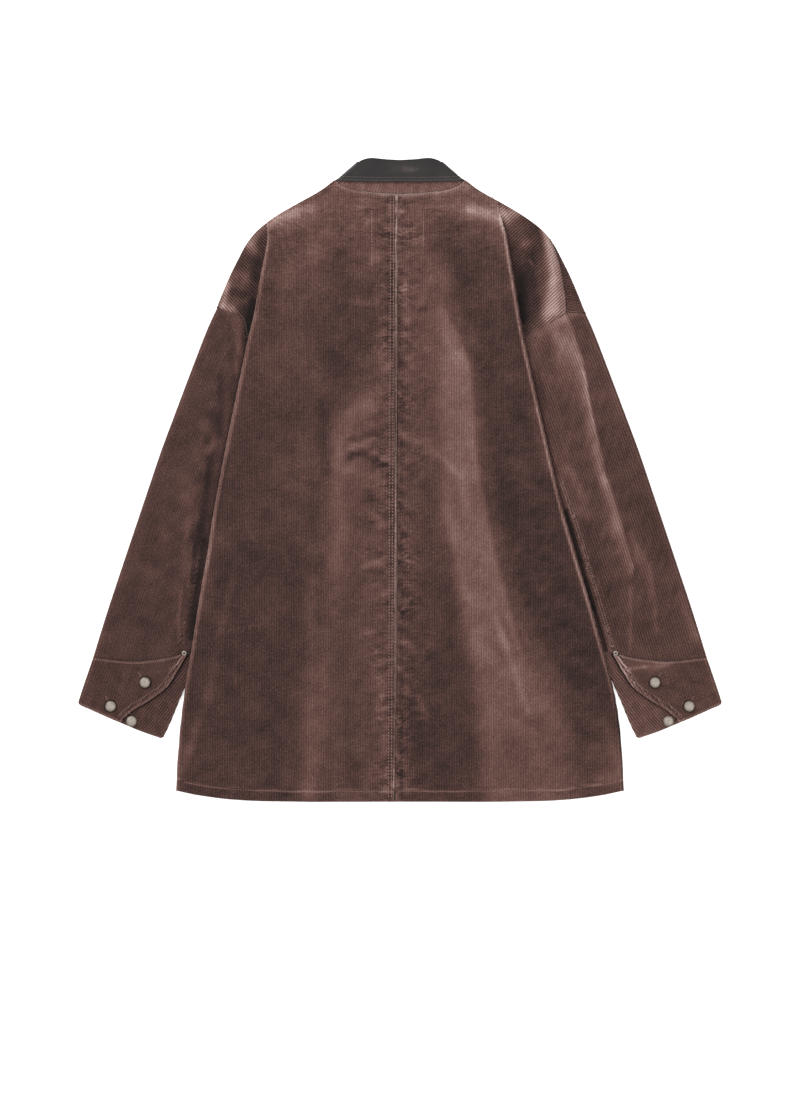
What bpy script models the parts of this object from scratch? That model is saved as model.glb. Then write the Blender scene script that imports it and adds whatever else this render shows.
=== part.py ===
"""A corduroy jacket laid flat on its front, modelled as cloth walls.

Frame: +Z up, floor at z = 0, +Y towards the collar, origin under the middle of the jacket.
Every size below is in millimetres. The two halves share one set of builders, which work in
"outward" coordinates (a, y, z): a is the distance out from the middle, so x = side * a.

Each cloth piece is a middle surface on a grid, given its wall by a Solidify modifier. Hidden
layers lie on levels one cloth and one gap apart, from the floor up:
FLOOR_LAYER (fronts, under sleeves), WING (back beside the armhole, sleeve tops under the body),
RETURN (the back's folded-under strip), and the back itself on top.
"""
import math

import bmesh
import bpy
import numpy as np

MM = 0.001
CLOTH = 1.5                      # cloth wall
GAP = 0.3                        # air between layers and at seams
LEVEL = CLOTH + GAP
FLOOR_LAYER = CLOTH / 2          # middle of a layer that lies on the floor
WING = FLOOR_LAYER + LEVEL
RETURN = WING + LEVEL
TURN_RADIUS = LEVEL / 2          # tightest fold of the middle surface
FOLD_TIGHT = TURN_RADIUS + 0.2   # the body's side fold at the shoulder
FOLD_OPEN = 1.6                  # how much softer it is below, and over what distance it opens
FOLD_RUN = 90.0
FOLD_STEPS = 4                   # facets round each half turn
SEAM = 0.4                       # gap between pieces side by side

BACK_LIFT = 4.15                 # the back's middle surface above the front's
SHOULDER_LIFT = 2.2              # the same at the neck and shoulder edges
OVER_RETURN = 6.35               # the back's level where a folded strip lies under it
NECK_CENTRE = (-0.6, 376.0)
COLLAR_REACH = 94.0              # the fronts are lifted off the floor by the collar inside this
COLLAR_RAMP = 23.0
COLLAR_LIFT = 2.1

OVERLAP = 15.0                   # each front passes the centre by this
LAP_EASE = (22.0, 30.0)          # the upper front comes down to the floor from here, over this far
CENTRE_TOP = -4.0                # x of the centre-back seam at the neck and at the hem
CENTRE_HEM = -7.0
WELT_WIDTH = 9.0                 # felled centre-back seam
WELT_HEIGHT = 0.8
WELT_STEP = 2.0                  # how far the welt takes to drop to the panel
WELT_FOOT = 0.15                 # height left at the foot of that step
WELT_EASE = 5.4                  # the grid beside the welt gives way by this

TOP_EASE = 34.0                  # the back rises to its full height this far from the shoulder
STRIP_MARGIN = 6.0               # it stays up this far past the folded strip's inner end
SIDE_EASE = 46.0                 # and comes down over this distance
CALM_TOP = 40.0                  # soft folds fade in over these distances from shoulder and side
CALM_SIDE = 60.0
BELOW_CUFF = -285.0              # below this y no sleeve lies under the strip, and it drops
DROP_RUN = 60.0
ARMPIT_EASE = (26.0, 50.0)       # the side seam drops to the front from here below the armpit
PUFF = 1.9                       # how much the sleeve's top stands above the wing
PUFF_RUN = 26.0                  # it rises over this distance from the body's edge
PUFF_START = 0.12                # and over this share of the sleeve's length

BODY_ROWS = 26                   # facets along and across each piece
BODY_COLUMNS = 12
WING_COLUMNS = 5
SLEEVE_ROWS = 13
SLEEVE_COLUMNS = 9
NECK_COLUMNS = 6                 # of the front panels
SHOULDER_COLUMNS = 6
CUFF_ROWS = 6
CUFF_COLUMNS = 6
COLLAR_COLUMNS = 8               # points along half the collar

BUTTON_RADIUS = 6.8
BUTTON_HEIGHT = 2.6
RIVET_RADIUS = 3.2
RIVET_HEIGHT = 1.2


def table(columns, *rows):
    """Named columns of numbers: one array for each name."""
    values = np.array(rows, float)
    return {name: values[:, i] for i, name in enumerate(columns.split())}


def points(rows):
    return np.column_stack([rows["a"], rows["y"]])


# Folded side edge of the body, from shoulder to hem.
SIDE_EDGE = {
    -1: table("a y", (173.5, 334), (172.5, 314), (175, 296), (182, 260), (189, 218), (197, 185),
              (203, 156), (224.5, 51), (238, -20), (245, -60), (250, -95), (258, -140), (271, -222),
              (278, -264), (284, -316), (288, -364), (290, -402)),
    1: table("a y", (129, 361), (134, 333), (138, 320), (143, 291), (149, 256), (153, 231),
             (159, 195), (167, 156), (188, 62), (209, -28), (228, -96), (247, -160), (261, -211),
             (274, -258), (281, -290), (287, -335), (291, -402)),
}
# Where the folded strip turns back out to the wing: from the shoulder to the armpit.
INNER_TURN = {
    -1: table("a y", (163, 342.5), (161, 290), (160, 220), (161, 130), (166, 25)),
    1: table("a y", (120, 367.5), (121, 320), (124, 260), (129, 190), (138, 100), (150, 25)),
}
# Side seam, under the body: from the armpit to the hem.
SIDE_SEAM = {
    -1: table("a y", (166, 25), (163, -20), (166, -80), (176, -160), (195, -280), (214, -403)),
    1: table("a y", (150, 25), (150, -20), (156, -80), (170, -160), (192, -280), (214, -403)),
}
# Armhole, from its top at the shoulder to the armpit.
ARMHOLE = {
    -1: table("a y", (236, 223), (223, 219.5), (212, 216.5), (204, 206.5), (200, 188), (196, 150),
              (187, 100), (175, 55), (166, 25)),
    1: table("a y", (242, 215), (229, 216.5), (216, 215.5), (201.5, 207), (179, 194), (165, 178),
             (156, 140), (151, 80), (150, 25)),
}
# Shoulder line from the neck out to the top of the armhole.
SHOULDER = table("a y", (84, 389), (89, 386.3), (99.5, 378.6), (113, 370.8), (127, 363.2), (141, 355.3),
                 (154, 347.8), (166, 340), (177, 332), (186, 324), (193, 316.6), (199, 309),
                 (203.5, 301), (211, 285), (218.5, 270), (225.6, 254), (232, 238.6), (238, 223))
# Right shoulder seam, which lies on the back: from the shoulder line to the armhole.
BACK_SEAM = table("a y", (196.5, 312), (202, 298.5), (206, 284.5), (209.5, 270), (213, 251.5),
                  (215, 236), (216, 215.5))
NECK_DROP = 370.5                # y of the neck seam at the centre back
NECK_HALF = 84.0                 # from the centre to the shoulder line
NECK_RISE = 10.5                 # how far the neck seam rises towards the shoulder
NECK_TIP = 8.0                   # how much further it rises close to the shoulder
FRONT_NECK = table("a y", (84, 388.5), (83, 355), (76, 334), (62, 312), (42, 296), (15, 289), (-15, 286))
HEM = table("a y", (-15, -418.5), (60, -418.7), (120, -418.7), (190, -417), (225, -414.5),
            (256, -410.5), (275, -407), (291, -403))
# Outer edge of sleeve and cuff, and the sleeve's inner edge below the armpit.
SLEEVE_OUTER = table("a y", (238, 223), (251, 194), (271, 142), (290.6, 90), (310, 38), (327.5, -14),
                     (345, -66), (362, -118), (379, -170), (397, -230.5))
SLEEVE_INNER = {
    -1: table("a y", (166, 25), (180, -18), (198, -70), (222, -135), (257, -223)),
    1: table("a y", (150, 25), (170, -18), (192, -70), (220, -135), (257, -223)),
}
CUFF_SEAM = table("a y", (397, -230.5), (368, -234.5), (338, -236), (305, -232), (280, -226),
                  (257, -223))
CUFF_OUTER = table("a y", (397, -230.5), (406, -262), (413.3, -288.5), (410.5, -294.5))
CUFF_INNER = table("a y", (257, -223), (283, -279), (296, -311), (306, -331.5), (311, -335))
CUFF_HEM = table("a y", (410.5, -294.5), (388, -305), (363, -315), (335, -326), (311, -335))
LAP_EDGE = table("a y", (277, -227), (292, -253), (303, -269.5), (325, -286), (349, -301),
                 (363, -314.5))
UNDER_LAP_EDGE = table("a y", (300, -233), (316, -255), (345, -275), (372, -292), (384, -306))

# Collar: leaf lower edge, roll edge, side crease and the wings under the fronts.
LEAF_LOWER = table("a y", (81.5, 388.2), (55, 386.7), (28, 386.3), (0, 386.5))
ROLL = table("a y", (50.5, 412.4), (47.5, 417.2), (42, 418.5), (34, 418.6), (18, 416.3), (0, 415.2))
WING_OUTER = table("a y", (86, 386), (86, 360), (81, 338), (68, 318), (50, 303))
WING_ROLL = table("a y", (50.5, 412.4), (50, 382), (47, 356), (38, 336), (24, 322))
STAND_LOWER = table("a y", (80, 386), (70, 380), (55, 375.9), (28, 372.4), (0, 371.2))
STAND_UPPER = table("a y", (51, 408), (36, 411), (20, 410.4), (0, 409.8))
STAND_FRONT_UPPER = table("a y", (54, 406), (50, 380), (45, 357), (35, 339), (16, 325))
STAND_BACK = 4.9
STAND_FRONT = 2.85
NECK_CLEAR = 3.6                 # stand to front panel, where both lie hidden
LEAF_BACK = 7.0

# Soft folds of the back: a line from (x, y) to (x2, y2), its half width and its height.
BACK_FOLDS = table(
    "x y x2 y2 half height",
    (-52, 100, -92, 35, 20, 0.9), (-92, 35, -112, -400, 17, 1.1),
    (-70, 140, -66, 30, 16, -0.9), (-120, 60, -175, -180, 24, -0.7),
    (-225, -140, -272, -360, 13, 0.7), (-150, 250, -40, 330, 26, 0.8),
    (60, 320, 96, 246, 16, -1.1), (96, 246, 92, 190, 16, -0.9),
    (58, 200, 96, 130, 14, 1.0), (92, 130, 116, -14, 22, 1.2),
    (116, -14, 134, -110, 24, 1.2), (134, -110, 208, -250, 24, 1.2),
    (30, -30, 50, -400, 26, -0.7), (110, -330, 230, -345, 22, 0.8),
    (104, 340, 40, 352, 14, 0.6))
# Soft folds of the sleeves, in outward coordinates.
SLEEVE_FOLDS = {
    -1: table("x y x2 y2 half height", (247, 60, 272, -70, 13, 1.2), (268, -60, 285, -200, 11, 1.0),
              (247, 40, 250, -110, 9, -0.9), (330, -60, 370, -190, 14, 0.8)),
    1: table("x y x2 y2 half height", (206, 200, 214, 150, 12, 1.0), (214, 150, 252, 60, 12, 1.0),
             (252, 60, 282, -70, 14, 1.3), (282, -70, 332, -220, 14, 1.0),
             (232, -10, 262, -120, 9, -0.8)),
}
# Cuff buttons: place, and whether each sits on the upper lap.
BUTTONS = table("a y upper", (331, -263, 1), (375.5, -293.8, 1), (348.5, -313.2, 0))
RIVET = (280.0, -225.0)

CORDUROY = ("corduroy", (0.105, 0.058, 0.052), 0.85, 0.0)
COLLAR = ("collar leather", (0.067, 0.058, 0.058), 0.55, 0.0)
METAL = ("tack metal", (0.36, 0.31, 0.28), 0.35, 1.0)


def smooth(t):
    """Soft step from 0 to 1."""
    t = np.clip(t, 0.0, 1.0)
    return t * t * (3 - 2 * t)


def along(curve, count):
    """count points at equal spacing along a polyline."""
    curve = np.asarray(curve, float)
    reach = np.concatenate([[0], np.cumsum(np.hypot(*np.diff(curve, axis=0).T))])
    at = np.linspace(0, reach[-1], count)
    return np.column_stack([np.interp(at, reach, curve[:, k]) for k in range(curve.shape[1])])


def kept(curve, spans):
    """spans + 1 points on a polyline that keep all its corners: long sides are split first."""
    curve = [tuple(map(float, p)) for p in curve]
    parts = [1] * (len(curve) - 1)
    lengths = [math.dist(p, q) for p, q in zip(curve, curve[1:])]
    while sum(parts) < spans:
        longest = max(range(len(parts)), key=lambda k: lengths[k] / parts[k])
        parts[longest] += 1
    out = [np.linspace(p, q, n, endpoint=False) for p, q, n in zip(curve, curve[1:], parts)]
    return np.vstack(out + [np.array(curve[-1:])])


def rounded(curve, per_span=6):
    """The same curve through its points, drawn smoothly (Catmull-Rom)."""
    curve = np.asarray(curve, float)
    ends = np.vstack([2 * curve[0] - curve[1], curve, 2 * curve[-1] - curve[-2]])
    t = np.linspace(0, 1, per_span, endpoint=False)[:, None]
    spans = []
    for p0, p1, p2, p3 in zip(ends, ends[1:], ends[2:], ends[3:]):
        spans.append(0.5 * (2 * p1 + (p2 - p0) * t + (2 * p0 - 5 * p1 + 4 * p2 - p3) * t**2
                            + (3 * p1 - p0 - 3 * p2 + p3) * t**3))
    return np.vstack(spans + [curve[-1:]])


def patch(bottom, top, start, end, pull=1):
    """Coons patch: rows run from the bottom curve to the top one, columns from start to end.

    A pull above 1 keeps the end curve's bends near that end; one below 1 spreads them further in.
    """
    u = np.linspace(0, 1, len(bottom))[None, :, None] ** pull
    v = np.linspace(0, 1, len(start))[:, None, None]
    across = (1 - v) * bottom[None] + v * top[None]
    down = (1 - u) * start[:, None] + u * end[:, None]
    corners = ((1 - u) * (1 - v) * bottom[0] + u * (1 - v) * bottom[-1]
               + (1 - u) * v * top[0] + u * v * top[-1])
    return across + down - corners


def offset(curve, distance):
    """The curve moved to its left by a distance."""
    slope = np.gradient(curve, axis=0)
    slope /= np.hypot(slope[:, 0], slope[:, 1])[:, None]
    return curve + distance * np.column_stack([-slope[:, 1], slope[:, 0]])


def out_at(rows, y):
    """Outward place of a table's line at height y."""
    return np.interp(-np.asarray(y, float), -rows["y"], rows["a"])


def relief(folds, x, y):
    """Height that a table's soft folds add at (x, y): a bell across each line, fading at its ends."""
    total = np.zeros(np.shape(x))
    for x1, y1, x2, y2, half, height in zip(*(folds[k] for k in "x y x2 y2 half height".split())):
        length = math.hypot(x2 - x1, y2 - y1)
        ux, uy = (x2 - x1) / length, (y2 - y1) / length
        run = (x - x1) * ux + (y - y1) * uy
        beside = (x - x1) * uy - (y - y1) * ux
        past = np.maximum(np.maximum(-run, run - length), 0)
        total += height * np.exp(-(beside / half) ** 2 - (past / (1.2 * half)) ** 2)
    return total


def front_level(x, y):
    """Middle of the front panels: on the floor, lifted over the collar's wings."""
    r = np.hypot(x - NECK_CENTRE[0], y - NECK_CENTRE[1])
    return FLOOR_LAYER + COLLAR_LIFT * (1 - smooth((r - COLLAR_REACH) / COLLAR_RAMP))


def on_sleeve(y):
    """1 where a sleeve or cuff lies under the strip, easing to 0 below the cuff."""
    return 1 - smooth((BELOW_CUFF - y) / DROP_RUN)


def strip_level(y):
    """Level of the folded strip: over the sleeve, then down to the floor below the cuff."""
    return FLOOR_LAYER + (RETURN - FLOOR_LAYER) * on_sleeve(y)


def fold_radius(y, apex):
    """The body's side fold opens from tight at the shoulder to soft below it."""
    return FOLD_TIGHT + FOLD_OPEN * smooth((apex - y) / FOLD_RUN)


def half_turn(start, direction, radius, down=1):
    """Points of a half turn from each starting point: it bulges along direction and goes under,
    or with down = -1 over."""
    steps = []
    for angle in np.linspace(0, math.pi, FOLD_STEPS + 1)[1:-1]:
        flat = start[:, :2] + direction * (radius * math.sin(angle))[:, None]
        steps.append(np.column_stack([flat, start[:, 2] - down * radius * (1 - math.cos(angle))]))
    return steps


def outline_part(start, finish):
    """Stretch of the shoulder line between two outward distances."""
    curve = rounded(points(SHOULDER))
    inside = curve[(curve[:, 0] > start) & (curve[:, 0] < finish)]
    ends = [(a, np.interp(a, curve[:, 0], curve[:, 1])) for a in (start, finish)]
    return np.vstack([ends[:1], inside, ends[1:]])


def neck_line(centre, end):
    """Neck seam at the back, as outward points from the centre to the shoulder line."""
    a = np.linspace(centre, end, 12)
    share = a / NECK_HALF
    return np.column_stack([a, NECK_DROP + NECK_RISE * share**2 + NECK_TIP * share**10])


def add_mesh(name, grids, side, finish):
    """One cloth object from grids of (a, y, z) points, which are welded where they meet."""
    mesh = bpy.data.meshes.new(name)
    work = bmesh.new()
    for grid in grids:
        grid = np.array(grid, float)
        rows, columns = grid.shape[:2]
        verts = [[work.verts.new((side * a * MM, y * MM, z * MM)) for a, y, z in row] for row in grid]
        for j in range(rows - 1):
            for i in range(columns - 1):
                corners = [verts[j][i], verts[j][i + 1], verts[j + 1][i + 1], verts[j + 1][i]]
                work.faces.new(corners if side > 0 else corners[::-1])
    bmesh.ops.remove_doubles(work, verts=work.verts, dist=0.02 * MM)
    bmesh.ops.dissolve_degenerate(work, edges=work.edges, dist=0.01 * MM)
    work.to_mesh(mesh)
    work.free()
    piece = add_object(name, mesh, finish)
    solid = piece.modifiers.new("wall", "SOLIDIFY")
    solid.thickness = CLOTH * MM
    solid.offset = 0
    solid.use_even_offset = False
    return piece


def add_object(name, mesh, finish):
    """A named object with its own material."""
    label, colour, roughness, metallic = finish
    material = bpy.data.materials.new(f"{label} {name}")
    material.use_nodes = True
    shader = material.node_tree.nodes["Principled BSDF"]
    shader.inputs["Base Color"].default_value = (*colour, 1)
    shader.inputs["Roughness"].default_value = roughness
    shader.inputs["Metallic"].default_value = metallic
    mesh.materials.append(material)
    piece = bpy.data.objects.new(name, mesh)
    bpy.context.scene.collection.objects.link(piece)
    return piece


def side_fold(side):
    """Points down the body's folded side edge, one for each row, from the hem up."""
    return along(points(SIDE_EDGE[side]), BODY_ROWS + 1)[::-1]


def add_welt(main):
    """Adds columns beside the centre seam for the raised welt; the rest of the grid gives way."""
    edge = main[:, :1]
    give = 1 - smooth(np.linspace(0, 1, main.shape[1] - 1))[None, :, None]
    rest = main[:, 1:] + give * np.array([WELT_EASE, 0])
    return np.concatenate([edge, edge + (WELT_WIDTH, 0), edge + (WELT_WIDTH + WELT_STEP, 0), rest], axis=1)


def back_panel(side):
    """Half of the back: the top, its side fold, the strip under it and the wing at the armhole."""
    fold_line = side_fold(side)
    radius = fold_radius(fold_line[:, 1], fold_line[-1, 1])
    strip = strip_level(fold_line[:, 1])
    top_end = fold_line - np.column_stack([CLOTH / 2 + radius, 0 * radius])
    shoulder = outline_part(NECK_HALF, top_end[-1, 0])
    shoulder[-1] = top_end[-1]
    centre_gap = 0 if side < 0 else SEAM
    centre = along([(side * CENTRE_HEM + centre_gap, HEM["y"][0]),
                    (side * CENTRE_TOP + centre_gap, NECK_DROP)], BODY_ROWS + 1)
    neck = neck_line(centre[-1, 0], NECK_HALF)[:-1]
    top = along(np.vstack([neck, shoulder]), BODY_COLUMNS + 1)
    hem_at = np.linspace(centre[0, 0], top_end[0, 0], BODY_COLUMNS + 1)
    hem = np.column_stack([hem_at, np.interp(hem_at, HEM["a"], HEM["y"])])
    top_end[0] = hem[-1]
    main = patch(hem, top, centre, top_end)
    if side < 0:
        main = add_welt(main)
    a, y = main[..., 0], main[..., 1]
    strip_depth = (fold_line[:, 0] - inner_line(side, fold_line)[:, 0])[:, None] + STRIP_MARGIN
    beside = top_end[:, :1] - a
    edge_level = (strip + 2 * radius)[:, None]
    rest = BACK_LIFT + FLOOR_LAYER
    over = (rest + (OVER_RETURN - rest) * on_sleeve(fold_line[:, 1]))[:, None]
    near = over + (edge_level - over) * (1 - smooth(beside / strip_depth))
    from_top = main[-1:, :, 1] - y
    lift = SHOULDER_LIFT + (BACK_LIFT - SHOULDER_LIFT) * smooth(from_top / TOP_EASE)
    base = front_level(side * a, y) + lift
    z = base + (near - base) * (1 - smooth((beside - strip_depth) / SIDE_EASE))
    calm = smooth(from_top / CALM_TOP) * smooth(beside / CALM_SIDE)
    z = z + relief(BACK_FOLDS, side * a, y) * calm
    if side < 0:
        z[:, :2] += WELT_HEIGHT
        z[:, 2] += WELT_FOOT
    grids = [np.dstack([main, z])]

    arc_top = np.column_stack([top_end, z[:, -1]])
    steps = half_turn(arc_top, np.tile((1.0, 0.0), (BODY_ROWS + 1, 1)), radius)
    strip_out = np.column_stack([top_end, strip])
    grids.append(np.stack([arc_top, *steps, strip_out], axis=1))
    grids.append(strip_grid(side, strip_out, fold_line, strip))
    grids.extend(wing_grids(side, fold_line))
    return add_mesh("back_left" if side < 0 else "back_right", grids, side, CORDUROY)


def armpit_row(side, fold_line):
    """Row of the body's grid that meets the armpit."""
    return int(np.argmin(abs(fold_line[:, 1] - ARMHOLE[side]["y"][-1])))


def inner_line(side, fold_line):
    """Inner end of the folded strip in each row: the side seam, then the inner turn."""
    row = armpit_row(side, fold_line)
    low = np.column_stack([out_at(SIDE_SEAM[side], fold_line[:row, 1]), fold_line[:row, 1]])
    low[0, 1] = np.interp(low[0, 0], HEM["a"], HEM["y"])
    high = along(rounded(points(INNER_TURN[side])), len(fold_line) - row)[::-1]
    return np.vstack([low, high])


def strip_grid(side, strip_out, fold_line, strip):
    """The strip folded under, dropping to the front panel's level inside the sleeve."""
    inner = inner_line(side, fold_line)
    row = armpit_row(side, fold_line)
    armpit_y = fold_line[row, 1]
    dropped = smooth((armpit_y - ARMPIT_EASE[0] - inner[:, 1]) / ARMPIT_EASE[1])
    seam_level = np.where(np.arange(len(inner)) >= row, RETURN, RETURN - (RETURN - FLOOR_LAYER) * dropped)
    seam_level = np.minimum(seam_level, strip)
    sleeve = np.append(SLEEVE_INNER[side]["a"], CUFF_INNER["a"][1:])
    sleeve_y = np.append(SLEEVE_INNER[side]["y"], CUFF_INNER["y"][1:])
    clear = np.interp(-inner[:, 1], -sleeve_y, sleeve) - 4
    clear = np.clip(clear, inner[:, 0] + 2, strip_out[:, 0] - 2)
    clear[row:] = 0.4 * inner[row:, 0] + 0.6 * strip_out[row:, 0]
    columns = [strip_out]
    for share, level in ((0.5, 0.0), (1.0, 0.0), (1.45, 0.5), (2.0, 1.0)):
        if share <= 1:
            out = strip_out[:, 0] + share * (clear - strip_out[:, 0])
        else:
            out = clear + (share - 1) * (inner[:, 0] - clear)
        way = (strip_out[:, 0] - out) / (strip_out[:, 0] - inner[:, 0])
        y = strip_out[:, 1] + way * (inner[:, 1] - strip_out[:, 1])
        columns.append(np.column_stack([out, y, strip + level * (seam_level - strip)]))
    return np.stack(columns, axis=1)


def wing_grids(side, fold_line):
    """The inner turn and the wing that runs out to the armhole and shoulder."""
    row = armpit_row(side, fold_line)
    turn = inner_line(side, fold_line)[row:]
    count = len(turn)
    level = np.full(count, RETURN)
    start = np.column_stack([turn, level])
    steps = half_turn(start, np.tile((-1.0, 0.0), (count, 1)), np.full(count, TURN_RADIUS))
    low = np.column_stack([turn, level - LEVEL])
    turn_grid = np.stack([start, *steps, low], axis=1)
    armhole = kept(points(ARMHOLE[side]), count - 1)[::-1]
    if side < 0:
        over = outline_part(turn[-1, 0], ARMHOLE[side]["a"][0])
        over[-1] = armhole[-1]
    else:
        hidden = outline_part(turn[-1, 0], BACK_SEAM["a"][0])[:-1]
        over = np.vstack([hidden, points(BACK_SEAM)])
        first = int(np.argmin(abs(ARMHOLE[side]["a"] - BACK_SEAM["a"][-1])))
        armhole = kept(points(ARMHOLE[side])[first:], count - 1)[::-1]
        armhole[-1] = over[-1]
    over = along(over, WING_COLUMNS + 1)
    over[0] = turn[-1]
    armhole[0] = turn[0]
    bottom = np.repeat(turn[:1], WING_COLUMNS + 1, axis=0)
    flat = patch(bottom, over, turn, armhole, pull=0.7)
    wing = np.dstack([flat, np.full(flat.shape[:2], WING)])
    return [turn_grid, wing]


def front_panel(side):
    """Half of the front, on the floor, with its centre edge lapped over or under the other."""
    fold_line = side_fold(side)
    row = armpit_row(side, fold_line)
    hole = kept(points(ARMHOLE[side]), BODY_ROWS - row)[::-1]
    outer = np.vstack([inner_line(side, fold_line)[:row], hole]) - (SEAM, 0)
    outer[0, 1] = np.interp(outer[0, 0], HEM["a"], HEM["y"])
    shoulder = along(outline_part(FRONT_NECK["a"][0], outer[-1, 0]), SHOULDER_COLUMNS + 1)
    top = np.vstack([points(FRONT_NECK)[-1:], front_neck()[::-1][:-1], shoulder])
    top[-1] = outer[-1]
    hem_at = np.linspace(-OVERLAP, outer[0, 0], len(top))
    hem = np.column_stack([hem_at, np.interp(hem_at, HEM["a"], HEM["y"])])
    centre = along([hem[0], top[0]], BODY_ROWS + 1)
    flat = patch(hem, top, centre, outer, pull=2)
    a, y = flat[..., 0], flat[..., 1]
    z = front_level(side * a, y)
    if side < 0:
        z = z + (LEVEL + GAP) * (1 - smooth((a - LAP_EASE[0]) / LAP_EASE[1]))
    grids = [np.dstack([flat, z])]
    if side > 0:
        grids.append(shoulder_flap(grids[0][-1]))
    return add_mesh("front_left" if side < 0 else "front_right", grids, side, CORDUROY)


def front_neck():
    """Neck seam of a front panel, from the shoulder line to its lapped edge."""
    return kept(points(FRONT_NECK)[:-1], NECK_COLUMNS)


def shoulder_flap(edge):
    """Part of the right front that wraps over the shoulder line to the seam on the back."""
    first = int(np.argmax(edge[:, 0] > BACK_SEAM["a"][0] - 6))
    bottom = edge[first:]
    seam = along(offset(points(BACK_SEAM), 2 * SEAM), len(bottom) + 1)[1:]
    direction = np.gradient(bottom[:, :2], axis=0)
    direction /= np.hypot(direction[:, 0], direction[:, 1])[:, None]
    outward = np.column_stack([-direction[:, 1], direction[:, 0]])
    steps = half_turn(bottom, outward, np.full(len(bottom), TURN_RADIUS), down=-1)
    over = bottom + (0, 0, LEVEL)
    inner = np.column_stack([seam, over[:, 2]])
    return np.stack([bottom, *steps, over, inner], axis=0)


def sleeve(side):
    """A flattened sleeve: one ring of cloth in each row, open at the armhole and the cuff."""
    outer_line = along(rounded(points(SLEEVE_OUTER)), SLEEVE_ROWS + 1)
    inner_edge = along(rounded(points(SLEEVE_INNER[side])), SLEEVE_ROWS + 1)
    hole = offset(kept(points(ARMHOLE[side]), SLEEVE_COLUMNS), SEAM + 0.2)
    seam = offset(kept(points(CUFF_SEAM), SLEEVE_COLUMNS), -SEAM)
    outer_line[0], outer_line[-1] = hole[0], seam[0]
    inner_edge[0], inner_edge[-1] = hole[-1], seam[-1]
    flat = patch(hole, seam, outer_line, inner_edge)
    length = np.linspace(0, 1, SLEEVE_ROWS + 1)
    outer_top = WING + PUFF * smooth(length / PUFF_START)
    outer_radius = (outer_top - FLOOR_LAYER) / 2
    inner_radius = np.full(SLEEVE_ROWS + 1, TURN_RADIUS)
    across = flat[:, -1] - flat[:, 0]
    width = np.hypot(across[:, 0], across[:, 1])
    across /= width[:, None]
    share = np.linspace(0, 1, SLEEVE_COLUMNS + 1)[None, :]
    start = (outer_radius + CLOTH / 2)[:, None]
    finish = width[:, None] - (inner_radius + CLOTH / 2)[:, None]
    old = share * width[:, None]
    new = start + share * (finish - start)
    flat = flat + across[:, None, :] * (new - old)[..., None]
    a, y = flat[..., 0], flat[..., 1]
    clear = a - out_at(SIDE_EDGE[side], y)
    puff = smooth((clear - 3) / PUFF_RUN) * smooth(length[:, None] / PUFF_START)
    z = WING + PUFF * puff * (1 + 0.35 * np.sin(math.pi * share))
    z[:, 0] = outer_top
    z = z + relief(SLEEVE_FOLDS[side], a, y) * puff * smooth((1 - length[:, None]) / 0.06)
    z[:, -1] = WING
    top = np.dstack([flat, z])
    inner_turn = half_turn(top[:, -1], across, inner_radius)
    bottom = np.dstack([flat, np.full(z.shape, FLOOR_LAYER)])[:, ::-1]
    outer_turn = half_turn(bottom[:, -1], -across, outer_radius, down=-1)
    ring = np.concatenate([top, np.stack(inner_turn, axis=1), bottom,
                           np.stack(outer_turn, axis=1), top[:, :1]], axis=1)
    return add_mesh("sleeve_left" if side < 0 else "sleeve_right", [ring[::-1]], side, CORDUROY)


def cuff(side):
    """One sheet round the wrist: under lap, inner fold, bottom, outer fold, upper lap."""
    outer_line = along(rounded(points(CUFF_OUTER)), CUFF_ROWS + 1)
    inner_edge = along(rounded(points(CUFF_INNER)), CUFF_ROWS + 1)
    lap = along(rounded(points(LAP_EDGE)), CUFF_ROWS + 1)
    under = along(rounded(points(UNDER_LAP_EDGE)), CUFF_ROWS + 1)
    seam = points(CUFF_SEAM)
    hem = points(CUFF_HEM)
    across = inner_edge - outer_line
    across /= np.hypot(across[:, 0], across[:, 1])[:, None]
    outer_radius = (RETURN - FLOOR_LAYER) / 2
    outer_start = outer_line + across * (outer_radius + CLOTH / 2)
    inner_start = inner_edge - across * (TURN_RADIUS + CLOTH / 2)

    def sheet(start, finish, level):
        first = between(seam, start[0], finish[0])
        last = between(hem, start[-1], finish[-1])
        flat = patch(first, last, start, finish)
        return np.dstack([flat, np.full(flat.shape[:2], level)])

    upper = sheet(lap, outer_start, RETURN)
    bottom = sheet(outer_start, inner_start, FLOOR_LAYER)
    tongue = sheet(inner_start, under, WING)
    outer_turn = half_turn(upper[:, -1], -across, np.full(CUFF_ROWS + 1, outer_radius))
    inner_turn = half_turn(bottom[:, -1], across, np.full(CUFF_ROWS + 1, TURN_RADIUS), down=-1)
    ring = np.concatenate([upper, np.stack(outer_turn, axis=1), bottom,
                           np.stack(inner_turn, axis=1), tongue], axis=1)
    return add_mesh("cuff_left" if side < 0 else "cuff_right", [ring], side, CORDUROY)


def between(curve, start, finish):
    """Points from start to finish that follow a curve's bow."""
    low, high = sorted((start[0], finish[0]))
    inside = curve[(curve[:, 0] > low + 3) & (curve[:, 0] < high - 3)]
    if start[0] < finish[0]:
        inside = inside[::-1]
    return kept(np.vstack([start, inside, finish]), CUFF_COLUMNS)


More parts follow.
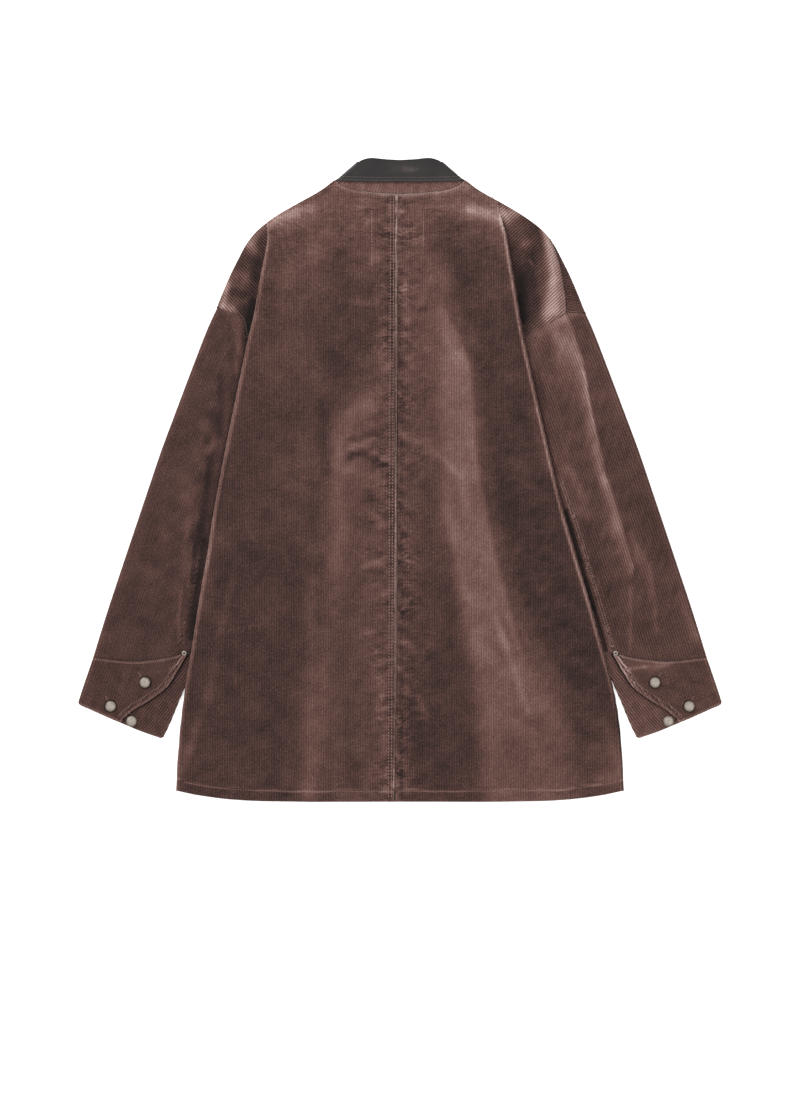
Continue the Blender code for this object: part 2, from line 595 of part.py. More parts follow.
def collar_sheet(name, lower, upper, wing_lower, wing_upper, levels, finish, rows):
    """A band across the back of the neck, turned under at each side crease to run down in front.

    The levels are those of its back and of its wings under the fronts.
    """
    high_level, low_level = levels
    low = along(rounded(points(lower)), COLLAR_COLUMNS)
    high = along(rounded(points(upper)), COLLAR_COLUMNS)
    crease = along([low[0], high[0]], rows)
    rise, run = crease[-1, 1] - crease[0, 1], crease[-1, 0] - crease[0, 0]
    outward = np.array([rise, -run]) / math.hypot(rise, run)
    back = patch(low, high, crease, along([low[-1], high[-1]], rows))
    back = np.dstack([back, np.full(back.shape[:2], high_level)])
    turn = half_turn(back[:, 0], outward, np.full(rows, (high_level - low_level) / 2))
    wing_low = kept(wing_lower, COLLAR_COLUMNS - 1)
    wing_high = along(rounded(points(wing_upper)), COLLAR_COLUMNS)
    wing_low[0], wing_high[0] = crease[0], crease[-1]
    wing = patch(wing_low, wing_high, crease, along([wing_low[-1], wing_high[-1]], rows))
    wing = np.dstack([wing, np.full(wing.shape[:2], low_level)])
    half = np.concatenate([wing[:, ::-1], np.stack(turn[::-1], axis=1), back], axis=1)
    whole = np.concatenate([half * (-1, 1, 1), half[:, ::-1][:, 1:]], axis=1)
    return add_mesh(name, [whole], 1, finish)


def disc(name, centre, base, radius, height, finish, sides=12):
    """A shallow turned disc with a rolled rim, for buttons and rivets."""
    profile = [(0.72, 0.0), (1.0, 0.35), (1.0, 0.7), (0.82, 1.0), (0.55, 0.86)]
    work = bmesh.new()
    rings = []
    for r, h in profile:
        ring = [work.verts.new(((centre[0] + radius * r * math.cos(2 * math.pi * k / sides)) * MM,
                                (centre[1] + radius * r * math.sin(2 * math.pi * k / sides)) * MM,
                                (base + height * h) * MM)) for k in range(sides)]
        rings.append(ring)
    work.faces.new(rings[0][::-1])
    for low, high in zip(rings, rings[1:]):
        for k in range(sides):
            after = (k + 1) % sides
            work.faces.new((low[k], low[after], high[after], high[k]))
    work.faces.new(rings[-1])
    mesh = bpy.data.meshes.new(name)
    work.to_mesh(mesh)
    work.free()
    return add_object(name, mesh, finish)


def trim(side):
    """Buttons and rivet of one cuff."""
    word = "left" if side < 0 else "right"
    for number, (a, y, upper) in enumerate(zip(BUTTONS["a"], BUTTONS["y"], BUTTONS["upper"]), 1):
        level = RETURN if upper else WING
        disc(f"cuff_button_{word}_{number}", (side * a, y), level + CLOTH / 2 + GAP,
             BUTTON_RADIUS, BUTTON_HEIGHT, METAL)
    disc(f"cuff_rivet_{word}", (side * RIVET[0], RIVET[1]), RETURN + CLOTH / 2 + GAP,
         RIVET_RADIUS, RIVET_HEIGHT, METAL, sides=8)


def main():
    for piece in list(bpy.data.objects):
        bpy.data.objects.remove(piece, do_unlink=True)
    for side in (-1, 1):
        back_panel(side)
        front_panel(side)
        sleeve(side)
        cuff(side)
        trim(side)
    collar_sheet("collar_stand", STAND_LOWER, STAND_UPPER, offset(front_neck(), -NECK_CLEAR),
                 STAND_FRONT_UPPER, (STAND_BACK, STAND_FRONT), CORDUROY, 4)
    collar_sheet("collar_leaf", LEAF_LOWER, ROLL, points(WING_OUTER), WING_ROLL,
                 (LEAF_BACK, FLOOR_LAYER), COLLAR, 5)


main()
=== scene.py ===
"""The looks of a corduroy jacket that lies on its front: wales, the lie of its pile, painted light and
shade, folds, stitching, metal.

Every shape is worked out in millimetres in "outward" coordinates (a, y, z): a is the distance
out from the jacket's middle, so x = side * a. Cloth pieces are cut as flat patterns whose wales
run along the grain, then laid over the jacket's layers and folded round its edges.
"""
import math

import bpy
import numpy as np
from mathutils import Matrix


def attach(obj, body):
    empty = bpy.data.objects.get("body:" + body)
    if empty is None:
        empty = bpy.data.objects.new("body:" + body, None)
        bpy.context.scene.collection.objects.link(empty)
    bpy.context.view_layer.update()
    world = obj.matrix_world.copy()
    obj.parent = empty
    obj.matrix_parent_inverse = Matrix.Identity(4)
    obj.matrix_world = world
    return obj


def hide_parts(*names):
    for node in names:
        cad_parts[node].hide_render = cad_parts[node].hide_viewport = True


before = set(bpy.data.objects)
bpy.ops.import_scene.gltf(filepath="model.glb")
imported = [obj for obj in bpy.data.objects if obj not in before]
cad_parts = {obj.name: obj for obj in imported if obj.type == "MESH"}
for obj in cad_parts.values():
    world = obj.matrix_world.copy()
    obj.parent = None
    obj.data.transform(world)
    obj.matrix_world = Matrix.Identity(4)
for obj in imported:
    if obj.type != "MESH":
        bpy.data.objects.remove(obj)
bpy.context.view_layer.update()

WORD = {-1: "left", 1: "right"}
MM = 0.001
CLOTH = 1.5                      # cloth wall, pile included
SKIN = 0.2                       # how much thinner the visible wall is, so that layers stay apart
GAP = 0.3
LEVEL = CLOTH + GAP
FLOOR_LAYER = CLOTH / 2          # middle of a layer that lies on the floor
WING = FLOOR_LAYER + LEVEL
RETURN = WING + LEVEL
TURN_RADIUS = LEVEL / 2
SEAM = 0.15                      # half the gap between two sewn edges

WALE = 3.2                       # drawn a little coarser than the real 2.6, so that it shows from afar
RIB = 0.42                       # how far a wale's crest stands over its valley
PITCH = WALE / 2                 # lines of points across each wale: its crest and its valley

BACK_LIFT = 4.15                 # the back's middle surface above the front's
SHOULDER_LIFT = 2.2              # the same at the neck and shoulder edges
OVER_RETURN = 6.35               # the back's level where a folded strip lies under it
NECK_CENTRE = (-0.6, 376.0)
COLLAR_REACH = 94.0              # the fronts are lifted off the floor by the collar inside this
COLLAR_RAMP = 23.0
COLLAR_LIFT = 2.1
BACK_COLLAR = (90.0, 110.0)      # the back is lifted inside the first, and comes down over the second
OVERLAP = 15.0                   # each front passes the centre by this
LAP_EASE = (22.0, 30.0)          # the upper front comes down to the floor from here, over this far
CENTRE_TOP = -4.0                # x of the centre-back seam at the neck and at the hem
CENTRE_HEM = -7.0
HEM_Y = -418.5
WELT_WIDTH = 9.0                 # felled centre-back seam
WELT_HEIGHT = 0.9
ARMPIT_Y = 25.0
FOLD_TIGHT = TURN_RADIUS + 0.2   # the body's side fold at the shoulder
FOLD_OPEN = 1.6                  # how much softer it is below, and over what distance it opens
FOLD_RUN = 90.0
TOP_EASE = 34.0                  # the back rises to its full height this far from the shoulder
STRIP_MARGIN = 6.0               # it stays up this far past the folded strip's inner end
SIDE_EASE = 46.0                 # and comes down over this distance
CALM_TOP = 40.0                  # soft folds fade in over these distances from shoulder and side
CALM_SIDE = 60.0
BELOW_CUFF = -285.0              # below this y no sleeve lies under the strip, and it drops
DROP_RUN = 60.0
ARMPIT_EASE = (26.0, 50.0)       # the side seam drops to the front from here below the armpit
STRIP_DROP = 22.0                # and the strip does so over this distance from the seam
PUFF = 2.1                       # how much the sleeve's top stands above the wing
PUFF_RUN = 26.0                  # it rises over this distance from the body's edge
FOLD_END = {-1: 332.0, 1: 329.0}  # above this y the side fold has run out: wing and body are one
WING_GRAIN = {-1: math.radians(43), 1: math.radians(47)}
SLEEVE_GRAIN = math.radians(-19)
SLEEVE_RADII = (2.0, TURN_RADIUS)
CUFF_GRAIN = math.radians(-20)
CUFF_RADII = ((RETURN - FLOOR_LAYER) / 2, TURN_RADIUS)
LAP_TILT = math.radians(-16)     # the under lap's wales against the rest of the cuff
FLAP_GRAIN = math.radians(78)
WELT_GROOVE = 7.6                # a groove runs this far from the centre-back seam, along the welt
DEEP_SHADOW = -0.12              # marks darker than this end more abruptly than the rest
HEM_STITCH = 13.5                # height of the stitch line above the hem
WELT_STITCHES = (7.9, 4.0)       # from the centre-back seam to each of the welt's stitch lines
LEAF_STITCHES = (2.4, 6.2)       # from the leaf's lower edge to each of its stitch lines
THREAD_LIFT = 0.1                # a stitch's middle over the cloth's outer face

# Tone of the pile on each side's sleeve and cuff, and how clearly the light picks out the wales.
SLEEVE_TONE = {-1: -0.057, 1: -0.02}
SLEEVE_CONTRAST = {-1: 0.5, 1: 0.95}
CUFF_TONE = {-1: -0.05, 1: -0.01}


def table(columns, *rows):
    """Named columns of numbers: one array for each name."""
    values = np.array(rows, float)
    return {name: values[:, i] for i, name in enumerate(columns.split())}


def points(rows):
    return np.column_stack([rows["a"], rows["y"]])


def marks(text):
    """Rows of a text table of marks on the cloth: half width, change of tone, then points x,y.

    A crease such as 12/9 has one half width on the left of its line and one on the right, as the
    line is followed.
    """
    rows = []
    for row in text.strip().splitlines():
        half, tone, *line = row.split()
        halves = [float(width) for width in half.split("/")]
        rows.append((halves[0], halves[-1], float(tone), np.array([p.split(",") for p in line], float)))
    return rows


# Folded side edge of the body, from shoulder to hem.
SIDE_EDGE = {
    -1: table("a y", (173.5, 334), (172.5, 314), (175, 296), (182, 260), (189, 218), (197, 185),
              (203, 156), (224.5, 51), (238, -20), (245, -60), (250, -95), (258, -140), (271, -222),
              (278, -264), (284.8, -316), (288.9, -364), (291, -402)),
    1: table("a y", (129, 361), (134, 333), (138, 320), (143, 291), (149, 256), (153, 231),
             (159, 195), (167, 156), (188, 62), (209, -28), (228, -96), (247, -160), (261, -211),
             (274, -258), (281, -290), (287, -335), (291, -402)),
}
# Where the folded strip turns back out to the wing: from the shoulder to the armpit.
INNER_TURN = {
    -1: table("a y", (163, 342.5), (161, 290), (160, 220), (161, 130), (166, 25)),
    1: table("a y", (120, 367.5), (121, 320), (124, 260), (129, 190), (138, 100), (150, 25)),
}
# Side seam, under the body: from the armpit to the hem.
SIDE_SEAM = {
    -1: table("a y", (166, 25), (163, -20), (166, -80), (176, -160), (195, -280), (214, -403)),
    1: table("a y", (150, 25), (150, -20), (156, -80), (170, -160), (192, -280), (214, -403)),
}
# Armhole, from its top at the shoulder to the armpit.
ARMHOLE = {
    -1: table("a y", (236, 223), (223, 219.5), (212, 216.5), (204, 206.5), (200, 188), (196, 150),
              (187, 100), (175, 55), (166, 25)),
    1: table("a y", (242, 215), (229, 216.5), (216, 215.5), (201.5, 207), (179, 194), (165, 178),
             (156, 140), (151, 80), (150, 25)),
}
# Shoulder line from the neck out to the top of the armhole.
SHOULDER = table("a y", (84, 389.6), (89, 385.9), (99.5, 377.8), (113, 369.5), (127, 361.9), (141, 354),
                 (154, 346.5), (166, 338.7), (177, 330.7), (186, 322.8), (192.6, 315.4), (198.4, 307.6),
                 (203.2, 299.8), (211, 284.5), (218.5, 269.6), (225.6, 253.8), (232, 238.5), (238, 223))
# Right shoulder seam, which lies on the back: from the shoulder line to the armhole.
BACK_SEAM = table("a y", (195.4, 311.4), (201.4, 298), (206, 284.5), (209.5, 270), (213, 251.5), (215, 236),
                  (216, 215.5))
NECK_DROP = 370.5                # y of the neck seam at the centre back
NECK_HALF = 84.0                 # from the centre to the shoulder line
NECK_RISE = 10.5                 # how far the neck seam rises towards the shoulder
NECK_TIP = 8.0                   # how much further it rises close to the shoulder
FRONT_NECK = table("a y", (84, 388.5), (83, 355), (76, 334), (62, 312), (42, 296), (15, 289), (-15, 286))
HEM = table("a y", (-15, -417.7), (60, -417.9), (120, -418), (190, -416.9), (225, -414.5), (256, -410.5),
            (275, -407), (291, -403))
# Outer edge of sleeve and cuff, and the sleeve's inner edge below the armpit.
SLEEVE_OUTER = table("a y", (238, 223), (251.3, 194), (271.4, 142), (291, 90), (310.4, 38), (328, -14),
                     (345.5, -66), (362.9, -118), (380.1, -170), (398.8, -230.5))
SLEEVE_INNER = {
    -1: table("a y", (166, 25), (180, -18), (198, -70), (222, -135), (257, -223)),
    1: table("a y", (150, 25), (170, -18), (192, -70), (220, -135), (257, -223)),
}
# The felled seam under the arm, where it shows beside the body.
UNDERARM = {
    -1: table("a y", (262, -104), (270, -150), (279, -186), (286, -212)),
    1: table("a y", (209, -3), (226, -48), (237, -82), (246, -116), (257, -150), (268, -189), (277, -220)),
}
CUFF_SEAM = table("a y", (398.8, -230.5), (368, -234.5), (338, -236), (305, -232), (280, -226), (257, -223))
CUFF_OUTER = table("a y", (398.8, -230.5), (409.6, -262), (417, -284.5), (417.9, -287.6), (417.2, -290.4),
                   (414, -292.6))
CUFF_INNER = table("a y", (257, -223), (283, -279), (296, -311), (305.5, -331.5), (307.5, -334), (311, -335))
CUFF_HEM = table("a y", (414, -292.6), (388, -304.4), (363, -315.2), (335, -326.8), (311, -335))
LAP_EDGE = table("a y", (277, -227), (292, -253), (303, -269.5), (325, -286), (349, -301), (363, -314.5))
UNDER_LAP_EDGE = table("a y", (300, -233), (316, -255), (345, -275), (372, -292), (384, -306))

# Collar: leaf lower edge, roll edge and the wings under the fronts, then the stand's.
LEAF_LOWER = table("a y", (79, 387.6), (55, 386.7), (28, 386.3), (0, 386.5))
ROLL = table("a y", (52, 410.8), (53, 412.4), (51.6, 413.9), (49, 415.1), (45.6, 416.3), (42, 417.2),
             (37, 417.7), (31, 417.4), (18, 416), (0, 415))
WING_OUTER = table("a y", (86.6, 388.6), (87.4, 384), (86, 360), (81, 338), (68, 318), (50, 303))
WING_ROLL = table("a y", (52, 410.8), (50, 382), (47, 356), (38, 336), (24, 322))
STAND_LOWER = table("a y", (80, 385.4), (70, 379.4), (55, 375.4), (28, 372), (0, 370.8))
STAND_UPPER = table("a y", (51, 408), (36, 411), (20, 410.4), (0, 409.8))
STAND_FRONT_UPPER = table("a y", (54, 406), (50, 380), (45, 357), (35, 339), (16, 325))
STAND_BACK = 4.9
STAND_FRONT = 2.85
NECK_CLEAR = 2.8                 # stand to front panel, where both lie hidden
LEAF_BACK = 7.0

# Cuff buttons: place, and whether each sits on the upper lap. Profiles: share of the radius,
# height and tone; the tone is low at the foot of the flank, as painted shade.
BUTTONS = table("a y upper", (331, -263, 1), (375.5, -293.8, 1), (348.5, -313.2, 0))
BUTTON_RADIUS = 6.8
RIVET = (280.0, -225.0)
RIVET_RADIUS = 3.2
BUTTON_PROFILE = ((0.72, 0.0, -0.5), (0.97, 0.4, -0.4), (1.0, 1.0, -0.1), (0.98, 1.7, 0.15),
                  (0.94, 2.15, 0.25), (0.9, 2.25, 0.2), (0.87, 2.05, -0.3), (0.84, 2.1, -0.1),
                  (0.8, 2.3, 0.2), (0.5, 2.5, 0.28), (0.2, 2.58, 0.3), (0.04, 2.6, 0.3))
RIVET_PROFILE = ((0.8, 0.0, -0.3), (1.0, 0.35, 0.0), (0.92, 0.9, 0.2), (0.6, 1.15, 0.3), (0.3, 0.9, -0.3),
                 (0.05, 0.85, -0.3))
# Outer ends of the two buttonholes, out and up from their buttons.
BUTTONHOLES = ((9.0, 14.0), (6.5, 13.0))
# Where the label's side seams come through the back: x, lower y, upper y.
LABEL_STITCHES = ((-36.1, 277.5, 351.6), (30.5, 301.0, 344.0))

# Soft folds of the back: a line from (x, y) to (x2, y2), its half width and its height.
BACK_FOLDS = table(
    "x y x2 y2 half height",
    (-52, 100, -92, 35, 20, 0.9), (-92, 35, -112, -400, 17, 1.1),
    (-70, 140, -66, 30, 16, -0.9), (-120, 60, -175, -180, 24, -0.7),
    (-225, -140, -272, -360, 13, 0.7), (-150, 250, -40, 330, 26, 0.8),
    (60, 320, 96, 246, 16, -1.1), (96, 246, 92, 190, 16, -0.9),
    (58, 200, 96, 130, 14, 1.0), (92, 130, 116, -14, 22, 1.2),
    (116, -14, 134, -110, 24, 1.2), (134, -110, 208, -250, 24, 1.2),
    (30, -30, 50, -400, 26, -0.7), (110, -330, 230, -345, 22, 0.8),
    (104, 340, 40, 352, 14, 0.6))
# Soft folds of the sleeves, in outward coordinates.
SLEEVE_FOLDS = {
    -1: table("x y x2 y2 half height", (247, 60, 272, -70, 13, 1.2), (268, -60, 285, -200, 11, 1.0),
              (247, 40, 250, -110, 9, -0.9), (330, -60, 370, -190, 14, 0.8)),
    1: table("x y x2 y2 half height", (206, 200, 214, 150, 12, 1.0), (214, 150, 252, 60, 12, 1.0),
             (252, 60, 282, -70, 14, 1.3), (282, -70, 332, -220, 14, 1.0),
             (232, -10, 262, -120, 9, -0.8)),
}
# Wrinkles that only the finer surface carries: beside the centre-back seam, mostly.
WRINKLES = table(
    "x y x2 y2 half height",
    (-64, 56, -36, 66, 4.5, 0.9), (-36, 66, -14, 58, 4.5, 0.7), (-66, 38, -38, 46, 4.5, 0.8),
    (-38, 46, -12, 36, 4.5, 0.7), (-58, 20, -34, 24, 4, 0.6), (-46, -14, -20, -22, 5, 0.7),
    (-48, -46, -22, -58, 5, 0.6), (-52, -106, -26, -114, 5, 0.7), (-50, -138, -24, -128, 4, -0.6),
    (-48, -200, -22, -212, 5, 0.6), (-44, -262, -18, -270, 5, 0.5), (-44, -330, -20, -322, 5, 0.5),
    (14, 56, 40, 40, 5, 0.7), (16, 34, 48, 22, 5, 0.7), (12, -80, 30, -92, 5, 0.6),
    (12, -120, 34, -134, 5, 0.6), (12, -196, 40, -224, 5, 0.8), (14, -262, 44, -296, 5, 0.9),
    (14, 108, 36, 118, 5, 0.5), (14, 170, 38, 160, 5, 0.5), (12, 214, 30, 206, 5, 0.5),
    (-78, 231, -28, 228, 1.6, 0.6), (4, 219, 20, 221, 2.2, -0.7), (-66, 318, -24, 322, 5, 0.5),
    (-60, 290, -20, 286, 5, 0.5), (14, 300, 40, 306, 5, 0.5), (12, 262, 44, 254, 5, 0.6))

# Wide bands on the back, partly the lie of its pile and partly painted light and shade over its
# folds: their two edges down the cloth, the softness of each edge and how much lighter (or darker)
# the pile is painted there.
NAP_AND_SHADE_BANDS = (
    (table("y left right", (222, 50, 58), (190, 52, 76), (150, 54, 91), (100, 50, 96), (50, 56, 99),
           (0, 58, 105), (-50, 60, 115), (-100, 72, 124), (-150, 80, 139), (-200, 86, 152),
           (-235, 95, 160)), 12, 5, 0.16),
    (table("y left right", (-200, 88, 138), (-250, 98, 180), (-300, 106, 212), (-350, 110, 224),
           (-418, 112, 230)), 12, 16, 0.10),
    (table("y left right", (300, 96, 138), (200, 100, 160), (100, 106, 182), (0, 120, 204),
           (-60, 134, 220), (-160, 158, 250), (-230, 196, 266), (-290, 240, 280)), 10, 12, -0.08),
    (table("y left right", (-120, 8, 66), (-200, 8, 78), (-300, 10, 96), (-418, 12, 98)), 8, 12, -0.075),
    (table("y left right", (90, -60, -14), (20, -90, -12), (-60, -92, -12), (-130, -88, -12)), 8, 6, 0.03),
    (table("y left right", (350, -150, 50), (290, -160, 30), (230, -170, -110), (140, -190, -120)),
     20, 24, 0.05),
    (table("y left right", (290, 0, 70), (205, 0, 62)), 8, 14, 0.10),
    (table("y left right", (-30, 136, 222), (-130, 160, 244), (-210, 184, 262)), 12, 10, -0.03),
    (table("y left right", (200, 0, 54), (100, 2, 56), (30, 2, 60)), 6, 14, 0.03),
    (table("y left right", (280, -100, -26), (190, -104, -34), (140, -100, -50)), 14, 14, -0.04),
    (table("y left right", (-105, 6, 60), (-225, 8, 84)), 8, 16, 0.03),
    (table("y left right", (-90, -240, -110), (-180, -262, -116), (-418, -292, -134)), 20, 20, -0.055),
    (table("y left right", (-120, -240, -124), (-300, -268, -136)), 20, 16, -0.02),
    (table("y left right", (260, -176, -104), (60, -222, -104), (-120, -258, -128)), 16, 20, -0.035),
)
# Narrow streaks, creases and patches of the back: mostly painted shadows and painted highlights
# of its folds, seams and edges, some of them tone of the pile.
BACK_STREAKS = marks("""
    8 0.3  92,351 118,344 138,337
    22 0.07  74,361 120,346
    11 0.06  62,341 88,342
    6 0.26  -174,332 -152,344 -134,352
    6 0.14  88,379 108,368 126,359
    5 0.3  131,350 134,338 137,324
    9 -0.09  92,170 104,150
    9 -0.07  70,2 74,-44
    8 -0.06  138,-85 142,-105
    12 -0.08  118,-206 142,-234
    4 -0.08  -223,30 -231,-10 -237,-55
    10 -0.04  -66,-290 -66,-390
    10 0.045  -144,-335 -148,-395
    6 0.05  -262,-300 -274,-350
    8 0.04  -24,-236 -30,-300
    8 0.05  -20,-345 -20,-395
    9 0.06  -22,112 -46,84
    4 0.08  1,80 2,56
    4 0.07  6,58 22,47 46,32
    8 -0.05  42,66 50,58
    10 0.05  38,215 40,150
    8 0.06  76,226 78,208
    6 0.05  6,246 6,200
    8 0.09  174,88 184,48 193,12
    4 0.08  212,-50 232,-120 252,-185 270,-232
    8 -0.06  -104,322 -98,312
    6 -0.06  -52,326 -48,316
    6 -0.07  -4,330 6,328
    10 -0.04  -100,352 -70,366
    5 -0.05  -176,290 -184,230
    8 -0.05  -84,112 -92,88
    7 -0.06  -78,22 -78,8
    9 -0.04  -86,-70 -86,-92
    4 0.12  -86,381 -70,383
    4 0.05  -84,358 -50,362 -20,362
    4 -0.11  -188,245 -198,180 -202,160
    10 0.05  -134,-215 -138,-235
    8 0.05  -6,-206 18,-216
    8 0.05  74,-196 80,-222
    5 -0.09  130,-176 142,-200 152,-226
    4 0.07  154,-186 168,-216
    3 0.1  -246,-88 -251,-115
    4 -0.15  279,-262 284,-300 289,-345
    3 0.1  162,176 168,146
    5 0.14  -6,-400 -4,-410
    5 0.08  -42,-404 -36,-410
    5 -0.08  -22,-372 -18,-384
    8 0.09  258,-390 280,-384
    7 -0.06  216,-384 222,-404
    20 -0.03  215,-250 262,-280
    8 -0.04  -160,284 -130,300
    10 0.04  20,254 96,250
    12 -0.03  -196,-262 -176,-280
    7 0.05  136,324 146,262 158,190
    5 0.14  48,372 86,381
    6 0.03  60,356 88,350
    9 -0.12  -101,98 -98,50 -95,12
    12 -0.06  34,-16 36,-84
    8 -0.06  108,30 108,-4
    8 0.05  -16,-236 -14,-330
    6 0.05  20,-286 34,-306
    14 0.05  -22,146 -44,96
    14 -0.06  -272,-206 -276,-286
    20 -0.05  238,-330 228,-372
    14 -0.05  -226,-128 -216,-150
    5 0.06  -48,362 -24,364
    18 -0.07  62,330 78,270 96,220
    5 0.03  104,255 138,212
    7 0.08  56,190 70,168 78,162
    7 0.05  80,12 84,-42
    7 0.06  60,-38 72,-90 84,-150
    4.5 0.09  125,-178 138,-222 150,-250 166,-300
    5 0.05  266,-310 278,-350 284,-384
    11 0.12  -46,100 -63,86 -77,56 -82,20
    12 0.09  -80,20 -78,-60 -82,-110
    12 0.06  -88,-90 -88,-160 -98,-250 -104,-330 -114,-410
    9 0.045  -114,-130 -118,-250 -120,-405
    11 -0.04  -112,-60 -104,-130 -104,-180
    20 -0.09  -80,150 -64,128
    9 -0.04  -108,60 -112,-50
    7 0.035  -128,62 -125,-20
    6 0.06  -216,-130 -236,-210 -250,-290 -272,-350 -285,-380
    11 0.07  -150,334 -118,348 -92,360 -62,376
    6 0.16  -168,330 -150,339 -116,354
    10 0.06  -112,300 -94,318
    12 0.04  -156,266 -146,274
    8 0.04  -140,228 -126,234
    20 -0.05  -84,312 -70,250
    5 -0.09  -40,349 -18,350
    5 -0.06  -26,326 -16,318
    6 0.1  -34,285 -24,285
    5 0.08  -28,257 -22,255
    5 0.05  -60,230 -54,230
    5 0.05  -22,240 -18,236
    5 0.05  -26,212 -22,212
    8 0.06  -24,165 -20,150
    7 0.08  -30,96 -16,92
    4 0.11  -62,42 -46,46 -28,34 -14,26
    4 -0.13  -66,30 -50,34 -34,24 -16,19
    6 0.07  -74,12 -50,14 -30,1 -18,-9
    6 -0.06  -42,-18 -28,-38 -18,-50
    5 0.06  -32,-48 -20,-66
    3.5 0.12  -48,-113 -34,-107 -20,-112
    3 -0.06  -46,-120 -22,-120
    12 0.04  -36,-128 -32,-140
    9 0.05  -50,-206 -38,-204
    5 0.06  -26,-256 -22,-282
    7 0.06  -26,-298 -22,-304
    7 0.06  -22,-328 -18,-340
    3 0.1  -6,-330 -6,-412
    4 0.06  6,377 30,372
    5 0.06  6,229 28,231
    3 -0.09  4,220 32,222
    5 0.05  14,160 20,166
    4 0.08  10,56 26,50 50,34 70,14
    4 -0.03  8,44 34,34 56,20
    6 0.08  66,14 78,6
    5 0.05  6,-60 20,-74
    6 0.05  8,-100 26,-114
    5 0.09  4,-211 28,-228
    5 0.09  10,-271 26,-284 36,-306
    3 -0.05  2,300 2,-200
    3 -0.08  2,-200 2,-410
    1.3 0.08  -78,231 -28,228
    1.2 0.12  -52,330 -40,334
    1.2 0.14  36,266 44,260
    1.2 0.1  -55,352 -46,352
    1.3 0.08  -190,-192 -236,-196
""")
# The same painted shadows, painted highlights and pile tone for the shoulder wings, sleeves and
# cuffs, with points in outward coordinates.
WING_STREAKS = {
    -1: marks("""
        6 -0.11  180,320 182,288 188,262
        9 -0.1  190,282 194,244 198,210
        6 -0.22  191,230 195,205 198,190 201,172
        3 -0.2  196,200 202,174 208,150
        6 -0.05  190,250 192,230
        4.5 0.26  225,254 228,238 230,226
        6 0.24  231,225 219,222
        7 -0.1  206,220 199,208
        6 0.22  196,306 186,319 175,330
        6 -0.08  206,276 208,262
        4 0.12  221,262 227,246
        8 0.12  212,268 200,264
        6 -0.16  216,244 204,240
        6 0.1  194,306 190,298
        9 -0.06  206,290 214,280
        """),
    1: marks("""
        8 -0.1  146,300 152,262
        13 -0.17  163,290 167,250 170,214
        7 -0.1  155,250 160,222 166,196
        4 -0.16  156,238 160,208
        3 -0.06  160,208 166,190 170,172
        7 -0.08  172,314 176,288
        4 -0.12  177,332 184,314 187,298
        12/9 0.34  190,322 194,299 200,272 202,249 201,220
        7 0.2  196,254 192,232 191,208
        5 0.12  186,326 196,300 200,262
        2.4 0.1  213,240 214,218
        5 -0.1  181,312 184,294
        5 -0.07  158,262 160,240
        8 0.14  188,214 202,222
        9 0.3  126,348 138,344 148,347
        5 0.16  132,350 137,341 141,334
        6 -0.08  168,335 182,318
        5 -0.07  156,268 158,228
        6 0.05  172,206 176,188
        9 -0.06  158,334 168,322
        7 0.11  164,306 157,288
        1.5 0.2  168,286 172,279
        """),
}
SLEEVE_STREAKS = {
    -1: marks("""
        3 0.1  216,208 212,180 212,140
        3 0.12  209,210 208,165
        8 -0.09  241,74 239,60
        3 -0.08  204,200 201,176
        5 0.03  225,170 226,62
        5 -0.06  233,132 233,60
        5 0.16  241,56 247,38
        14 0.03  288,10 272,-30
        2.2 0.05  253,30 259,-30
        5.5 -0.09  245,36 250,-10 255,-52 258,-80
        3.4 -0.14  254,-78 260,-118 265,-150 271,-205
        2.6 0.11  271,-80 272,-108 275,-138
        2 0.12  284,-146 287,-176 287,-206
        1.6 0.13  279,-184 281,-212
        2.2 0.05  262,-34 267,-80
        8 0.06  281,-20 279,-26
        7 0.06  308,-66 306,-74
        16 0.03  306,10 296,-14
        9 -0.07  248,84 246,72
        5 0.08  275,-62 279,-90 279,-125
        5 -0.07  261,-60 267,-100 268,-130
        4 -0.07  269,-130 275,-190 279,-212
        """),
    1: marks("""
        2.5/15 0.22  219,205 223,194 229,174 236,150
        9 0.12  204,192 219,172 228,158
        8 0.12  200,190 210,168
        10 0.08  216,146 238,108
        2.2/8 0.21  239,139 246,94 253,59 262,7 266,-3
        2.4/9 0.2  268,0 281,-42 292,-80 302,-116
        8 -0.08  254,6 257,-4
        8 0.08  280,-64 285,-92
        6 0.1  300,-70 309,-110
        8 -0.05  263,-128 270,-146
        1.8 0.13  236,160 244,106 254,62 262,28 268,-4
        9 0.05  272,0 280,-50
        6 0.1  364,-150 374,-180 384,-204
        4 0.06  196,50 204,18 214,-20 224,-52
        4 0.12  236,-112 242,-124
        5 0.06  262,-205 272,-222
        12 -0.04  318,-30 342,-110
        7 -0.05  276,-206 300,-222
        8 -0.06  233,82 236,44
        2.4 0.09  298,-138 300,-180 298,-224
        14 0.05  214,150 208,108
        5 0.05  189,96 191,58
        6 0.1  214,15 225,6 236,-22
        6 0.06  234,-38 244,-48
        3 -0.06  172,172 190,92
        5 0.08  172,172 174,146
        2.8 -0.26  216,-40 229.5,-86 239,-120 252,-168
        2 -0.24  252,-165 262,-198 268.5,-221
        5 0.04  268,-190 276,-216
        12 -0.05  244,-62 262,-130 277,-190
        3/7 0.1  308,-84 324,-114 330,-155 333,-195
        4 -0.07  307,-112 304,-132
        12 0.03  284,84 288,76
        8 0.05  196,196 186,188
        """),
}
